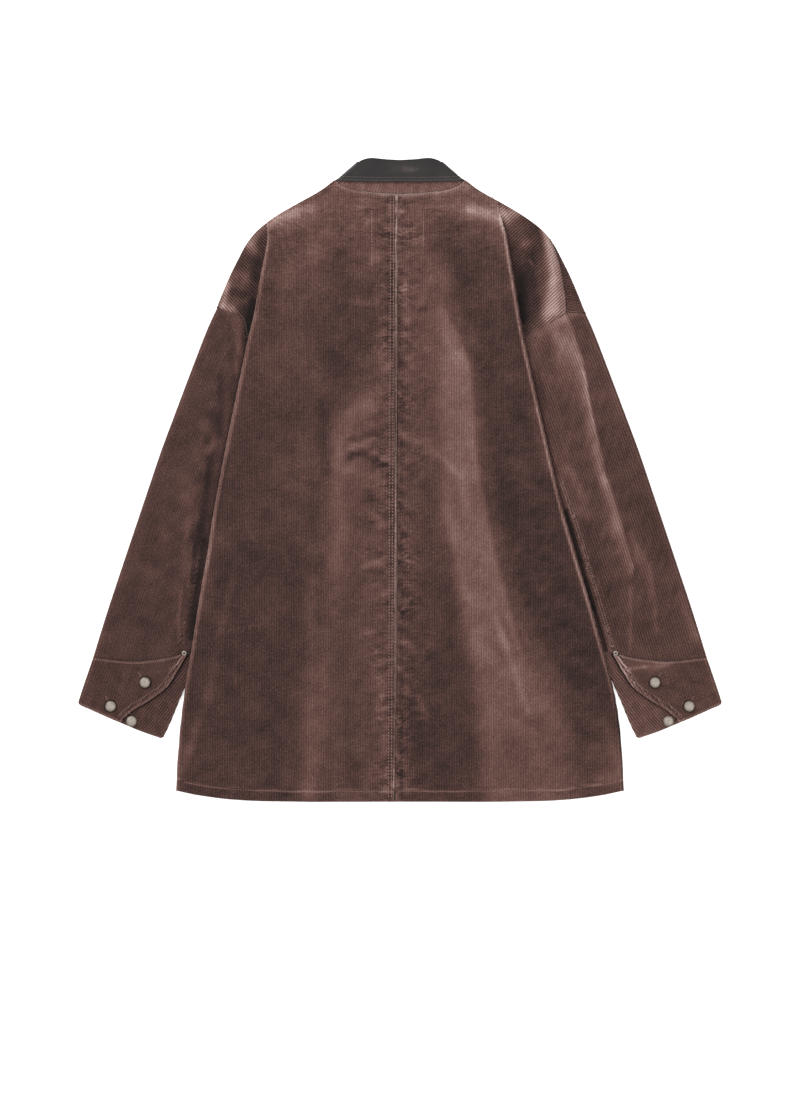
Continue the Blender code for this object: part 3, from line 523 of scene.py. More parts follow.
CUFF_STREAKS = {
    -1: marks("""
        5 0.05  300,-246 318,-250
        8 0.03  340,-262 360,-272
        """),
    1: marks("""
        10 0.07  274,-234 300,-264
        6 0.12  276,-232 290,-248
        10 0.05  290,-236 340,-242
        2.2 0.16  290,-250 300,-245 318,-243
        3 0.1  318,-243 346,-240 352,-238
        4 0.06  330,-248 346,-240
        6 0.05  372,-288 392,-292
        """),
}


# ---------------------------------------------------------------- curves and levels

def smooth(t):
    """Soft step from 0 to 1."""
    t = np.clip(t, 0.0, 1.0)
    return t * t * (3 - 2 * t)


def bell(gap, half):
    """1 where the gap is 0, falling softly on both sides to a third at the half width."""
    return np.exp(-(gap / half) ** 2)


def reach(curve):
    """Distance along a polyline at each of its points."""
    return np.concatenate([[0], np.cumsum(np.linalg.norm(np.diff(curve, axis=0), axis=1))])


def along(curve, count):
    """count points at equal spacing along a polyline."""
    curve = np.asarray(curve, float)
    far = reach(curve)
    at = np.linspace(0, far[-1], count)
    return np.column_stack([np.interp(at, far, column) for column in curve.T])


def rounded(curve, per_span=8):
    """The same curve through its points, drawn smoothly (Catmull-Rom)."""
    curve = points(curve) if isinstance(curve, dict) else np.asarray(curve, float)
    ends = np.vstack([2 * curve[0] - curve[1], curve, 2 * curve[-1] - curve[-2]])
    t = np.linspace(0, 1, per_span, endpoint=False)[:, None]
    spans = [0.5 * (2 * p1 + (p2 - p0) * t + (2 * p0 - 5 * p1 + 4 * p2 - p3) * t**2
                    + (3 * p1 - p0 - 3 * p2 + p3) * t**3)
             for p0, p1, p2, p3 in zip(ends, ends[1:], ends[2:], ends[3:])]
    return np.vstack(spans + [curve[-1:]])


def offset(curve, distance):
    """The curve moved to its left by a distance."""
    slope = np.gradient(curve, axis=0)
    slope /= np.hypot(slope[:, 0], slope[:, 1])[:, None]
    return curve + distance * np.column_stack([-slope[:, 1], slope[:, 0]])


def patch(bottom, top, start, end):
    """Coons patch: rows run from the bottom curve to the top one, columns from start to end."""
    u = np.linspace(0, 1, len(bottom))[None, :, None]
    v = np.linspace(0, 1, len(start))[:, None, None]
    across = (1 - v) * bottom[None] + v * top[None]
    down = (1 - u) * start[:, None] + u * end[:, None]
    corners = ((1 - u) * (1 - v) * bottom[0] + u * (1 - v) * bottom[-1]
               + (1 - u) * v * top[0] + u * v * top[-1])
    return across + down - corners


def axes(grain):
    """Directions across the grain and along it."""
    return np.array([[math.cos(grain), -math.sin(grain)], [math.sin(grain), math.cos(grain)]])


def turned(curve, grain):
    """Points as (across the grain, along it)."""
    return curve @ axes(grain).T


def line_at(rows, y):
    """Outward place of a table's line at height y."""
    curve = rounded(rows)
    return np.interp(-np.asarray(y, float), -curve[:, 1], curve[:, 0])


def hem_at(a):
    """y of the hem."""
    return np.interp(a, HEM["a"], HEM["y"])


def hem_span(start, finish, count):
    """Points along the hem."""
    a = np.linspace(start, finish, count)
    return np.column_stack([a, hem_at(a)])


def relief(folds, x, y):
    """Height that soft folds add at (x, y): a bell across each line, fading past its ends."""
    total = np.zeros(np.shape(x))
    for x1, y1, x2, y2, half, height in zip(*folds.values()):
        length = math.hypot(x2 - x1, y2 - y1)
        ux, uy = (x2 - x1) / length, (y2 - y1) / length
        run = (x - x1) * ux + (y - y1) * uy
        beside = (x - x1) * uy - (y - y1) * ux
        past = np.maximum(np.maximum(-run, run - length), 0)
        total += height * bell(beside, half) * bell(past, 1.2 * half)
    return total


def ripple(x, y, length, seed, waves=9):
    """Uneven soft waves of about one wavelength: a sum of plane waves in seeded directions."""
    draw = np.random.default_rng(seed)
    total = np.zeros(np.shape(x))
    for _ in range(waves):
        turn, phase = draw.uniform(0, 2 * math.pi, 2)
        k = 2 * math.pi / (length * draw.uniform(0.7, 1.5))
        total += np.sin(k * (x * math.cos(turn) + y * math.sin(turn)) + phase)
    return total / math.sqrt(waves)


def collar_lift(x, y, start, run):
    """How far the collar's wings lift what lies over them: easing off from start, over a run."""
    r = np.hypot(x - NECK_CENTRE[0], y - NECK_CENTRE[1])
    return COLLAR_LIFT * (1 - smooth((r - start) / run))


def on_sleeve(y):
    """1 where a sleeve or cuff lies under the strip, easing to 0 below the cuff."""
    return 1 - smooth((BELOW_CUFF - y) / DROP_RUN)


def strip_level(y):
    """Level of the folded strip: over the sleeve, then down to the floor below the cuff."""
    return FLOOR_LAYER + (RETURN - FLOOR_LAYER) * on_sleeve(y)


def fold_radius(side, y):
    """The body's side fold opens from tight at the shoulder to soft below it."""
    return FOLD_TIGHT + FOLD_OPEN * smooth((SIDE_EDGE[side]["y"][0] - y) / FOLD_RUN)


def arc_start(side, y):
    """Where the back's top layer begins to turn under."""
    return line_at(SIDE_EDGE[side], y) - CLOTH / 2 - fold_radius(side, y)


def strip_end(side, y):
    """Inner end of the folded strip: the hidden turn above the armpit, the side seam below it."""
    return np.where(y > ARMPIT_Y, line_at(INNER_TURN[side], y), line_at(SIDE_SEAM[side], y))


def top_line(a):
    """Top edge of the back: the neck seam, then the shoulder line."""
    shoulder = rounded(SHOULDER)
    share = a / NECK_HALF
    neck = NECK_DROP + NECK_RISE * share**2 + NECK_TIP * share**10
    return np.where(np.abs(a) < NECK_HALF, neck, np.interp(a, shoulder[:, 0], shoulder[:, 1]))


def centre_line(y):
    """x of the centre-back seam."""
    return CENTRE_HEM + (CENTRE_TOP - CENTRE_HEM) * (y - HEM_Y) / (NECK_DROP - HEM_Y)


def back_level(side, a, y):
    """Middle of the back's top layer: low at the neck and shoulder, raised over the folded strip."""
    depth = line_at(SIDE_EDGE[side], y) - strip_end(side, y) + STRIP_MARGIN
    beside = np.maximum(arc_start(side, y) - a, 0)
    rest = BACK_LIFT + FLOOR_LAYER
    over = rest + (OVER_RETURN - rest) * on_sleeve(y)
    near = over + (strip_level(y) + 2 * fold_radius(side, y) - over) * (1 - smooth(beside / depth))
    from_top = np.maximum(top_line(a) - y, 0)
    base = FLOOR_LAYER + collar_lift(side * a, y, *BACK_COLLAR) + SHOULDER_LIFT \
        + (BACK_LIFT - SHOULDER_LIFT) * smooth(from_top / TOP_EASE)
    z = base + (near - base) * (1 - smooth((beside - depth) / SIDE_EASE))
    calm = smooth(from_top / CALM_TOP) * smooth(beside / CALM_SIDE)
    return z + relief(BACK_FOLDS, side * a, y) * calm


# ---------------------------------------------------------------- patterns and meshes

def pattern(outline, grain=0.0, rows=100, hem=0.0):
    """Lines of points along the grain, cut off where they leave the pattern's outline.

    Each line lies at one distance across the grain and runs from its first to its last crossing
    of the outline. Its points are spread evenly, or closer together over the share of the line
    that a hem takes. Returns each point's place, then how far it is across the grain and along it.
    """
    across, down = axes(grain)
    closed = np.vstack([outline, outline[:1]])
    g, t = closed @ across, closed @ down
    count = max(int((g.max() - g.min()) / PITCH), 2)
    lines = math.ceil((g.min() + 0.02) / PITCH) * PITCH + PITCH * np.arange(count)
    lines = lines[lines < g.max() - 0.02]
    lines = np.concatenate([[g.min() + 0.01], lines, [g.max() - 0.01]])
    g1, g2, t1, t2 = g[:-1, None], g[1:, None], t[:-1, None], t[1:, None]
    hit = (g1 - lines) * (g2 - lines) <= 0
    with np.errstate(divide="ignore", invalid="ignore"):
        cross = t1 + (lines - g1) / (g2 - g1) * (t2 - t1)
    cross = np.where(np.isfinite(cross), cross, t1 + 0 * lines)
    low = np.where(hit, cross, np.inf).min(0)
    high = np.maximum(np.where(hit, cross, -np.inf).max(0), low + 0.4)
    close = rows // 9 if hem else 0
    v = np.concatenate([np.linspace(0, hem, close, endpoint=False), np.linspace(hem, 1, rows - close)])
    run = low + v[:, None] * (high - low)
    wide = np.broadcast_to(lines, run.shape)
    flat = wide[..., None] * across + run[..., None] * down
    return flat[..., 0], flat[..., 1], wide, run


def wale(g):
    """Height of the pile across the grain: round wales with narrow valleys, 0 to 1."""
    return np.abs(np.sin(math.pi * g / WALE)) ** 0.8


def layer(middle, g, t, side, nap, height, flip=False, contrast=0.6, crumple=0.0):
    """One grid ready for a mesh: places in metres and what the material reads at each.

    The outer face stands half the wall above the middle surface, so that a wale's crest lies on
    it and its valley RIB below; flip puts it on the other side. The tone it carries is the pile's
    own tone with painted light and shade added. The contrast says how strongly the wales show:
    valleys darker, partly the ground weave and partly painted shade, crests painted lighter,
    around a middling tone; where the pile is lighter they stand out more.
    """
    normal = np.cross(np.gradient(middle, axis=1), np.gradient(middle, axis=0))
    normal /= np.maximum(np.linalg.norm(normal, axis=2), 1e-9)[..., None]
    face = middle + (-1 if flip else 1) * normal * (CLOTH / 2 + RIB * (height - 1))[..., None]
    face[..., 2] = np.maximum(face[..., 2], 0.02)
    rib = 0.6 + (height - 0.5) * contrast * (1 + 2 * np.clip(nap, 0, 0.3))
    return {"place": face * (side * MM, MM, MM), "uv": np.dstack([g, t]) * MM, "turned": (side < 0) != flip,
            "nap": nap, "rib": rib, "crumple": crumple}


def add_object(name, data):
    piece = bpy.data.objects.new(name, data)
    bpy.context.scene.collection.objects.link(piece)
    return piece


def finish_mesh(mesh, material, **carried):
    """Smooth faces, one material and a value at each point for each attribute it reads."""
    for label, values in carried.items():
        attribute = mesh.attributes.new(label, "FLOAT", "POINT")
        attribute.data.foreach_set("value", np.asarray(values, np.float32))
    mesh.polygons.foreach_set("use_smooth", np.full(len(mesh.polygons), True))
    mesh.materials.append(material)
    return add_object(mesh.name, mesh)


def build(name, layers, material):
    """Cloth of one or more grids, with its wall and a UV map in metres along the grain."""
    places, quads, uvs, start = [], [], [], 0
    carried = {"nap": [], "rib": [], "crumple": []}
    for part in layers:
        shape = part["place"].shape[:2]
        index = start + np.arange(shape[0] * shape[1]).reshape(shape)
        corners = np.stack([index[:-1, :-1], index[:-1, 1:], index[1:, 1:], index[1:, :-1]], -1)
        quads.append(corners.reshape(-1, 4)[:, ::-1 if part["turned"] else 1])
        places.append(part["place"].reshape(-1, 3))
        uvs.append(part["uv"].reshape(-1, 2))
        for label, values in carried.items():
            values.append(np.broadcast_to(part[label], shape).ravel())
        start += index.size
    places, quads, uvs = np.vstack(places), np.vstack(quads), np.vstack(uvs)
    mesh = bpy.data.meshes.new(name)
    mesh.vertices.add(len(places))
    mesh.vertices.foreach_set("co", places.ravel())
    mesh.loops.add(quads.size)
    mesh.loops.foreach_set("vertex_index", quads.ravel().astype(np.int32))
    mesh.polygons.add(len(quads))
    mesh.polygons.foreach_set("loop_start", np.arange(0, quads.size, 4, dtype=np.int32))
    mesh.update(calc_edges=True)
    mesh.uv_layers.new(name="grain").data.foreach_set("uv", uvs[quads.ravel()].ravel())
    carried = {label: np.concatenate(values) for label, values in carried.items()}
    piece = finish_mesh(mesh, material, **carried)
    solid = piece.modifiers.new("wall", "SOLIDIFY")
    solid.thickness = (CLOTH - SKIN) * MM
    solid.offset = -1
    solid.use_even_offset = False
    return piece


# ---------------------------------------------------------------- materials

def linear(code, gain=1.0):
    """sRGB hex to linear colour, brightened or darkened by a gain."""
    value = np.array([int(code[i:i + 2], 16) / 255 for i in (1, 3, 5)])
    bright = np.where(value <= 0.04045, value / 12.92, ((value + 0.055) / 1.055) ** 2.4)
    return (*np.minimum(gain * bright, 1.0), 1.0)


def add(tree, kind, settings=None, **links):
    """Adds a node: settings are its properties, links are input names to sockets or values."""
    node = tree.nodes.new(kind)
    for key, value in (settings or {}).items():
        setattr(node, key, value)
    for key, value in links.items():
        numbered = key[0] == "i" and key[1:].isdigit()
        socket = node.inputs[int(key[1:]) if numbered else key.replace("_", " ")]
        if isinstance(value, bpy.types.NodeSocket):
            tree.links.new(value, socket)
        else:
            socket.default_value = value
    return node


def new_material(name, **settings):
    """A material, its node tree and its shader, with inputs of the shader set."""
    material = bpy.data.materials.new(name)
    material.use_nodes = True
    shader = material.node_tree.nodes["Principled BSDF"]
    for key, value in settings.items():
        shader.inputs[key.replace("_", " ")].default_value = value
    return material, material.node_tree, shader


def carried_value(tree, label):
    return add(tree, "ShaderNodeAttribute", {"attribute_name": label}).outputs["Fac"]


def calc(tree, operation, *values):
    """One step of arithmetic on sockets or numbers."""
    inputs = {f"i{k}": value for k, value in enumerate(values)}
    return add(tree, "ShaderNodeMath", {"operation": operation}, **inputs).outputs[0]


def noise(tree, place, **inputs):
    return add(tree, "ShaderNodeTexNoise", Vector=place, **inputs).outputs["Fac"]


def cloth_noise(tree, grain, across, down, turn=0.0, **inputs):
    """Flat noise on the cloth's own map: its waves per metre across the grain and along it."""
    place = add(tree, "ShaderNodeMapping", Vector=grain, Scale=(across, down, 1.0), Rotation=(0, 0, turn))
    inputs.update(Vector=place.outputs[0], Scale=1.0)
    return add(tree, "ShaderNodeTexNoise", {"noise_dimensions": "2D"}, **inputs).outputs["Fac"]


def colours(tree, tone, stops, shader):
    """Colours the shader by tone, from stops of (position, sRGB code, gain) between 0 and 1."""
    ramp = add(tree, "ShaderNodeValToRGB", Fac=tone)
    elements = ramp.color_ramp.elements
    for position, *colour in stops[1:-1]:
        elements.new(position).color = linear(*colour)
    elements[0].color, elements[-1].color = linear(*stops[0][1:]), linear(*stops[-1][1:])
    tree.links.new(ramp.outputs["Color"], shader.inputs["Base Color"])


def bump(tree, height, strength, distance, shader):
    node = add(tree, "ShaderNodeBump", Height=height, Strength=strength, Distance=distance)
    tree.links.new(node.outputs["Normal"], shader.inputs["Normal"])


# Colours of the pile from the deepest shadow of its ground to the lightest brushed patch.
PILE_COLOURS = ((0.0, "#090605"), (0.2, "#241815"), (0.35, "#422c28"), (0.5, "#5a403a"), (0.65, "#6f5752"),
                (0.8, "#866e69"), (1.0, "#9f8a85"))
PILE_TONE = -0.112


def corduroy_material():
    """Cotton corduroy: a cut pile in wales, so it is matt, soft at its edges and lighter or darker
    as the pile lies and where light and shade are painted on it; the valleys between wales show
    the darker ground weave, deepened by painted shade, and fine crumples are painted as light
    and shade."""
    material, tree, shader = new_material(
        "cotton corduroy, cut pile", Roughness=0.92, Specular_IOR_Level=0.18, Sheen_Weight=0.35,
        Sheen_Roughness=0.45, Sheen_Tint=linear("#c9aca4"))
    grain = add(tree, "ShaderNodeUVMap", {"uv_map": "grain"}).outputs["UV"]
    streak = cloth_noise(tree, grain, 260.0, 42.0, Detail=3.0, Roughness=0.6)
    patchy = cloth_noise(tree, grain, 22.0, 13.0, Detail=5.0, Roughness=0.62, Distortion=0.4)
    fibre = cloth_noise(tree, grain, 1500.0, 900.0, Detail=2.0, Roughness=0.7)
    tuft = cloth_noise(tree, grain, 640.0, 430.0, Detail=1.5, Roughness=0.6)
    lint = cloth_noise(tree, grain, 520.0, 170.0, turn=0.5, Detail=0.0)
    # Painted light and shade of fine crumples, as strong as the crumple value says.
    crease = cloth_noise(tree, grain, 75.0, 210.0, turn=0.12, Detail=3.0, Roughness=0.62, Distortion=1.2)
    crease_shade = calc(tree, "MULTIPLY", calc(tree, "SUBTRACT", crease, 0.5), carried_value(tree, "crumple"))
    stray = add(tree, "ShaderNodeMapRange", Value=lint, From_Min=0.72, From_Max=0.84).outputs[0]
    tone = calc(tree, "ADD", carried_value(tree, "nap"), PILE_TONE)
    for source, weight in ((streak, 0.10), (patchy, 0.12), (tuft, 0.33), (fibre, 0.16), (crease_shade, 0.65),
                           (stray, 0.07), (carried_value(tree, "rib"), 0.17)):
        tone = calc(tree, "MULTIPLY_ADD", source, weight, tone)
    colours(tree, tone, PILE_COLOURS, shader)
    bump(tree, fibre, 0.35, 0.0006, shader)
    return material


def leather_material():
    """Coated split leather: fine pebbled grain, a dull polish and greyer rubbed edges."""
    material, tree, shader = new_material(
        "charcoal grained leather", Roughness=0.52, Specular_IOR_Level=0.3)
    place = add(tree, "ShaderNodeTexCoord").outputs["Object"]
    pebble = add(tree, "ShaderNodeTexVoronoi", {"feature": "F1"}, Vector=place, Scale=900.0)
    cloud = noise(tree, place, Scale=38.0, Detail=4.0)
    tone = calc(tree, "MULTIPLY_ADD", cloud, 0.85, carried_value(tree, "nap"))
    colours(tree, tone, ((0.0, "#0f0c0c"), (0.4, "#201a1a"), (1.0, "#645c59")), shader)
    bump(tree, pebble.outputs["Distance"], 0.4, 0.0003, shader)
    return material


def thread_material(name, code):
    """Cotton-wrapped polyester thread: matt, a shade lighter than the cloth it holds."""
    material, tree, shader = new_material(name, Roughness=0.75)
    twist = noise(tree, add(tree, "ShaderNodeTexCoord").outputs["Object"], Scale=700.0, Detail=2.0)
    colours(tree, twist, ((0.0, code, 0.6), (1.0, code, 1.35)), shader)
    return material


def metal_material():
    """Stamped and tumbled alloy: pale top rubbed by wear, darker in the groove inside the rim."""
    material, tree, shader = new_material("tumbled tack-button alloy", Metallic=0.85)
    place = add(tree, "ShaderNodeTexCoord").outputs["Object"]
    wear = noise(tree, place, Scale=420.0, Detail=5.0, Roughness=0.65)
    tone = calc(tree, "MULTIPLY_ADD", wear, 0.6, carried_value(tree, "nap"))
    colours(tree, tone, ((0.0, "#2c2522"), (0.5, "#857c74"), (1.0, "#c4bcb3")), shader)
    rough = add(tree, "ShaderNodeMapRange", Value=wear, To_Min=0.34, To_Max=0.56)
    tree.links.new(rough.outputs[0], shader.inputs["Roughness"])
    bump(tree, wear, 0.25, 0.0002, shader)
    return material


CORDUROY = corduroy_material()
LEATHER = leather_material()
METAL = metal_material()
THREAD = thread_material("corduroy topstitch thread", "#7a5f58")
COLLAR_THREAD = thread_material("collar topstitch thread", "#5d5856")


# ---------------------------------------------------------------- nap

def nearest(curve, a, y):
    """Distance from each point to a polyline, and whether it lies on the left of it as it is followed."""
    best, left = np.full(np.shape(a), np.inf), np.zeros(np.shape(a), bool)
    for p, q in zip(curve, curve[1:]):
        d = q - p
        out, up = a - p[0], y - p[1]
        share = np.clip((out * d[0] + up * d[1]) / max(d @ d, 1e-9), 0, 1)
        gap = np.hypot(out - share * d[0], up - share * d[1])
        left = np.where(gap < best, d[0] * up - d[1] * out > 0, left)
        best = np.minimum(best, gap)
    return best, left


def distance_to(curve, a, y):
    return nearest(curve, a, y)[0]


def streaks(rows, x, y):
    """Tone that marks add: each a soft bell over the distance to its line of points. Deep shadows
    end more abruptly than the rest."""
    total = np.zeros(np.shape(x))
    for half_left, half_right, tone, line in rows:
        gap, left = nearest(line, x, y)
        half = np.where(left, half_left, half_right)
        total += tone * np.exp(-(gap / half) ** (4 if tone < DEEP_SHADOW else 2))
    return total


def brushed_and_shaded(x, y):
    """How the pile lies on the back and where light and shade are painted on it, lighter or darker,
    from the bands' edges and their softness, and from the back's marks.
    """
    total = np.zeros(np.shape(x))
    for edges, soft_left, soft_right, gain in NAP_AND_SHADE_BANDS:
        order = np.argsort(edges["y"])
        rows = edges["y"][order]
        left, right = (np.interp(y, rows, edges[name][order]) for name in ("left", "right"))
        inside = smooth((x - left + soft_left) / (2 * soft_left))
        inside *= smooth((right + soft_right - x) / (2 * soft_right))
        ends = smooth((y - rows[0] + 30) / 60) if rows[0] > HEM_Y + 5 else 1.0
        total += gain * inside * ends * smooth((rows[-1] + 18 - y) / 36)
    return total + streaks(BACK_STREAKS, x, y)


def slope_shade(middle, side, gain=0.55):
    """Painted light and shade by slope: pile that leans toward the light from behind the collar is
    painted lighter, and away from it darker, from the slope of the cloth's middle surface along y
    and a little along x, as a change of tone."""
    dy = np.gradient(middle[..., 1], axis=0)
    dx = np.gradient(middle[..., 0], axis=1)
    slope = -np.gradient(middle[..., 2], axis=0) / np.where(np.abs(dy) < 1e-6, 1e-6, dy)
    across = side * np.gradient(middle[..., 2], axis=1) / np.where(np.abs(dx) < 0.2, np.inf, dx)
    return np.clip(gain * slope + 0.35 * gain * across, -0.16, 0.2)


def puckers(x, y):
    """Small gathers where the felled centre-back seam draws the cloth in, at uneven spacing."""
    beside = x - centre_line(y)
    wander = y + 5 * np.sin(y / 41.0) + 3 * np.sin(y / 17.0)
    left = np.sin(2 * math.pi * (wander + 0.45 * np.abs(beside)) / 21.0 + 0.8 * np.sin(y / 63.0))
    right = np.sin(2 * math.pi * (wander + 0.55 * np.abs(beside)) / 24.0 + 2.0)
    return np.where(beside < 0, left, right) * bell(np.abs(beside) - 8, 13.0)


# ---------------------------------------------------------------- the back

def back_outline(side):
    """Flat pattern of half the back, with the strip that folds under laid out past the side edge."""
    start, finish = (side * centre_line(y) + (SEAM if side > 0 else 0) for y in (HEM_Y, NECK_DROP))
    apex, foot = SIDE_EDGE[side]["y"][[0, -1]]
    neck = np.linspace(finish, NECK_HALF - 0.1, 30)
    top_a = np.concatenate([neck, np.linspace(NECK_HALF + 1, arc_start(side, apex), 20)])
    y = np.linspace(apex - 1, foot + 2, 60)
    arc = arc_start(side, y)
    wide = arc + math.pi * fold_radius(side, y) + np.maximum(arc - strip_end(side, y), 4)
    arc = arc_start(side, foot)
    under = hem_span(SIDE_SEAM[side]["a"][-1], arc, 8)
    under[:, 0] = 2 * arc + math.pi * fold_radius(side, foot) - under[:, 0]
    return np.vstack([np.column_stack([top_a, top_line(top_a)]), np.column_stack([wide, y]), under,
                      hem_span(arc, start, 14)])


def lay_back(side, a, y):
    """Lays the flat back: flat on top, half a turn round the side fold, then under and inward.

    Also returns how far each point lies past the start of that turn.
    """
    start, radius, strip = arc_start(side, y), fold_radius(side, y), strip_level(y)
    past = a - start
    turn = np.clip(past / radius, 0, math.pi)
    under = np.maximum(past - math.pi * radius, 0)
    out = np.where(past <= 0, a, start + radius * np.sin(turn) - under)
    x = side * out
    beside = x - centre_line(y)
    top_a = np.minimum(a, start)
    calm = smooth((top_line(top_a) - y) / 14) * smooth((start - a) / 26)
    creases = relief(WRINKLES, x, y) + 0.42 * puckers(x, y)
    creases += 0.16 * ripple(x, y, 46, 3) + 0.1 * ripple(x, y, 19, 5)
    z_top = back_level(side, top_a, y) + calm * creases
    if side < 0:
        z_top += WELT_HEIGHT * smooth((beside + WELT_WIDTH + 1.2) / 1.6)
        z_top -= 0.35 * bell(beside + WELT_GROOVE, 1.3)
    z_top -= 0.3 * bell(y - hem_at(out) - HEM_STITCH, 1.6)
    end = strip_end(side, y)
    drop_from = np.minimum(end + STRIP_DROP, start - 6)
    settle = smooth((drop_from - out) / np.maximum(drop_from - end, 1)) \
        * smooth((ARMPIT_Y - ARMPIT_EASE[0] - y) / ARMPIT_EASE[1])
    z_under = strip + (np.minimum(FLOOR_LAYER, strip) - strip) * settle
    z_turn = strip + radius * (1 + np.cos(turn))
    return np.dstack([out, y, np.where(past <= 0, z_top, np.where(under > 0, z_under, z_turn))]), past


def back_nap(side, middle, past):
    """Tone of the back's pile with painted highlights and shade of its folds, seams and hem, and how
    crumpled it is.
    """
    out, y = middle[..., 0], middle[..., 1]
    x = side * out
    beside = x - centre_line(y)
    neck_gap = top_line(np.minimum(out, 200)) - y
    hem_gap = y - hem_at(out)
    nap = brushed_and_shaded(x, y) + 0.016 * ripple(x, y, 34, 11) + 0.016 * ripple(x, y, 120, 12)
    # Painted light and shade by slope and beside the puckers, and painted crease shade near the centre-back
    # seam.
    nap += slope_shade(middle, side) + 0.08 * puckers(x, y + 4)
    nap += 0.045 * ripple(0.4 * x, y, 10, 14) * bell(beside, 38)
    # A painted highlight along the rounded side fold, weaker toward the hem.
    runs = smooth((SIDE_EDGE[side]["y"][0] - (3 if side < 0 else 14) - y) / 12)
    runs *= 0.3 + 0.7 * smooth((y + 300) / 80)
    nap += (0.17 if side < 0 else 0.36) * bell(past + 0.3, 1.4) * (past < 3) * runs
    # A painted highlight along the neck seam's raised edge.
    nap += 0.27 * bell(neck_gap - 0.8, 1.6) * (out < NECK_HALF)
    # A painted highlight along each of the label's stitch lines.
    for label_x, low, high in LABEL_STITCHES:
        nap += 0.10 * smooth((y - low + 2) / 4) * smooth((high + 2 - y) / 4) * bell(x - label_x, 1.2)
    if side < 0:
        # A painted highlight, uneven along its length and partly wear, on the welt's raised edge; painted
        # shade in the grooves beside it.
        wear_and_highlight = 0.72 + 0.3 * np.sin(y / 23.0) + 0.25 * np.sin(y / 8.3 + 1)
        nap += 0.40 * smooth((beside + 1.25) / 0.6) * wear_and_highlight
        nap -= 0.06 * bell(beside + 6.0, 1.6) + 0.05 * bell(beside + 10.2, 1.2)
    # A painted highlight on the wavy ridge along the hem's stitch line and at the hem's edge, with painted
    # shade just below the ridge.
    crimp = 0.9 * np.sin(x / 17.0 + 1.3 * np.sin(x / 43.0)) + 0.5 * np.sin(x / 7.0)
    nap += (0.19 + 0.05 * np.sin(x / 29.0)) * bell(hem_gap - 14.6 - crimp, 1.4)
    nap += 0.08 * bell(hem_gap, 1.4) - 0.05 * bell(hem_gap - 11.6 - crimp, 1.6)
    uneven = np.clip(1 + 0.7 * ripple(x, y, 70, 15), 0, 2)
    return nap, 0.24 + 0.4 * bell(neck_gap, 70) + 0.62 * bell(beside, 24) * uneven


def wing_outline(side):
    """The part of the back between its hidden turn, the shoulder and the armhole."""
    turn, shoulder = rounded(INNER_TURN[side]), rounded(SHOULDER)
    limit = ARMHOLE[side]["a"][0] if side < 0 else BACK_SEAM["a"][0]
    rim = shoulder[(shoulder[:, 0] > turn[0, 0]) & (shoulder[:, 0] < limit)]
    if side < 0:
        return np.vstack([rim, points(ARMHOLE[side]), turn[::-1]])
    return np.vstack([rim, rounded(BACK_SEAM), points(ARMHOLE[side])[2:], turn[::-1]])


def back_piece(side):
    """One back panel: the folded main sheet and the wing beside the armhole."""
    a, y, g, t = pattern(back_outline(side), rows=150, hem=0.028)
    middle, past = lay_back(side, a, y)
    height = wale(g)
    if side < 0:
        height = height * (1 - 0.55 * bell(side * middle[..., 0] - centre_line(y) + WELT_GROOVE, 1.4))
    nap, crumple = back_nap(side, middle, past)
    main_sheet = layer(middle, g, t, side, nap, height, contrast=0.65, crumple=crumple)

    a, y, g, t = pattern(wing_outline(side), WING_GRAIN[side], rows=56)
    beside = a - line_at(SIDE_EDGE[side], y)
    meets = smooth((y - FOLD_END[side]) / 14) * bell(np.maximum(beside, 0), 24) * smooth((beside + 2.5) / 2)
    z = WING + 0.075 * ripple(a, y, 30, 21) ** 2 + 3.6 * meets
    # Painted shadow on the wing beside the body's side fold.
    nap = 0.02 * ripple(a, y, 26, 22) - 0.06 * np.exp(-np.maximum(beside, 0) / 8)
    nap += streaks(WING_STREAKS[side], a, y)
    wing = layer(np.dstack([a, y, z]), g, t, side, nap, wale(g), contrast=1.8)
    return build(f"back_panel_{WORD[side]}", [main_sheet, wing], CORDUROY)


# ---------------------------------------------------------------- sleeves and cuffs

def edge_at(curve, t):
    """Place across the grain of an edge at each distance along it."""
    order = np.argsort(curve[:, 1])
    return np.interp(t, curve[order, 1], curve[order, 0])


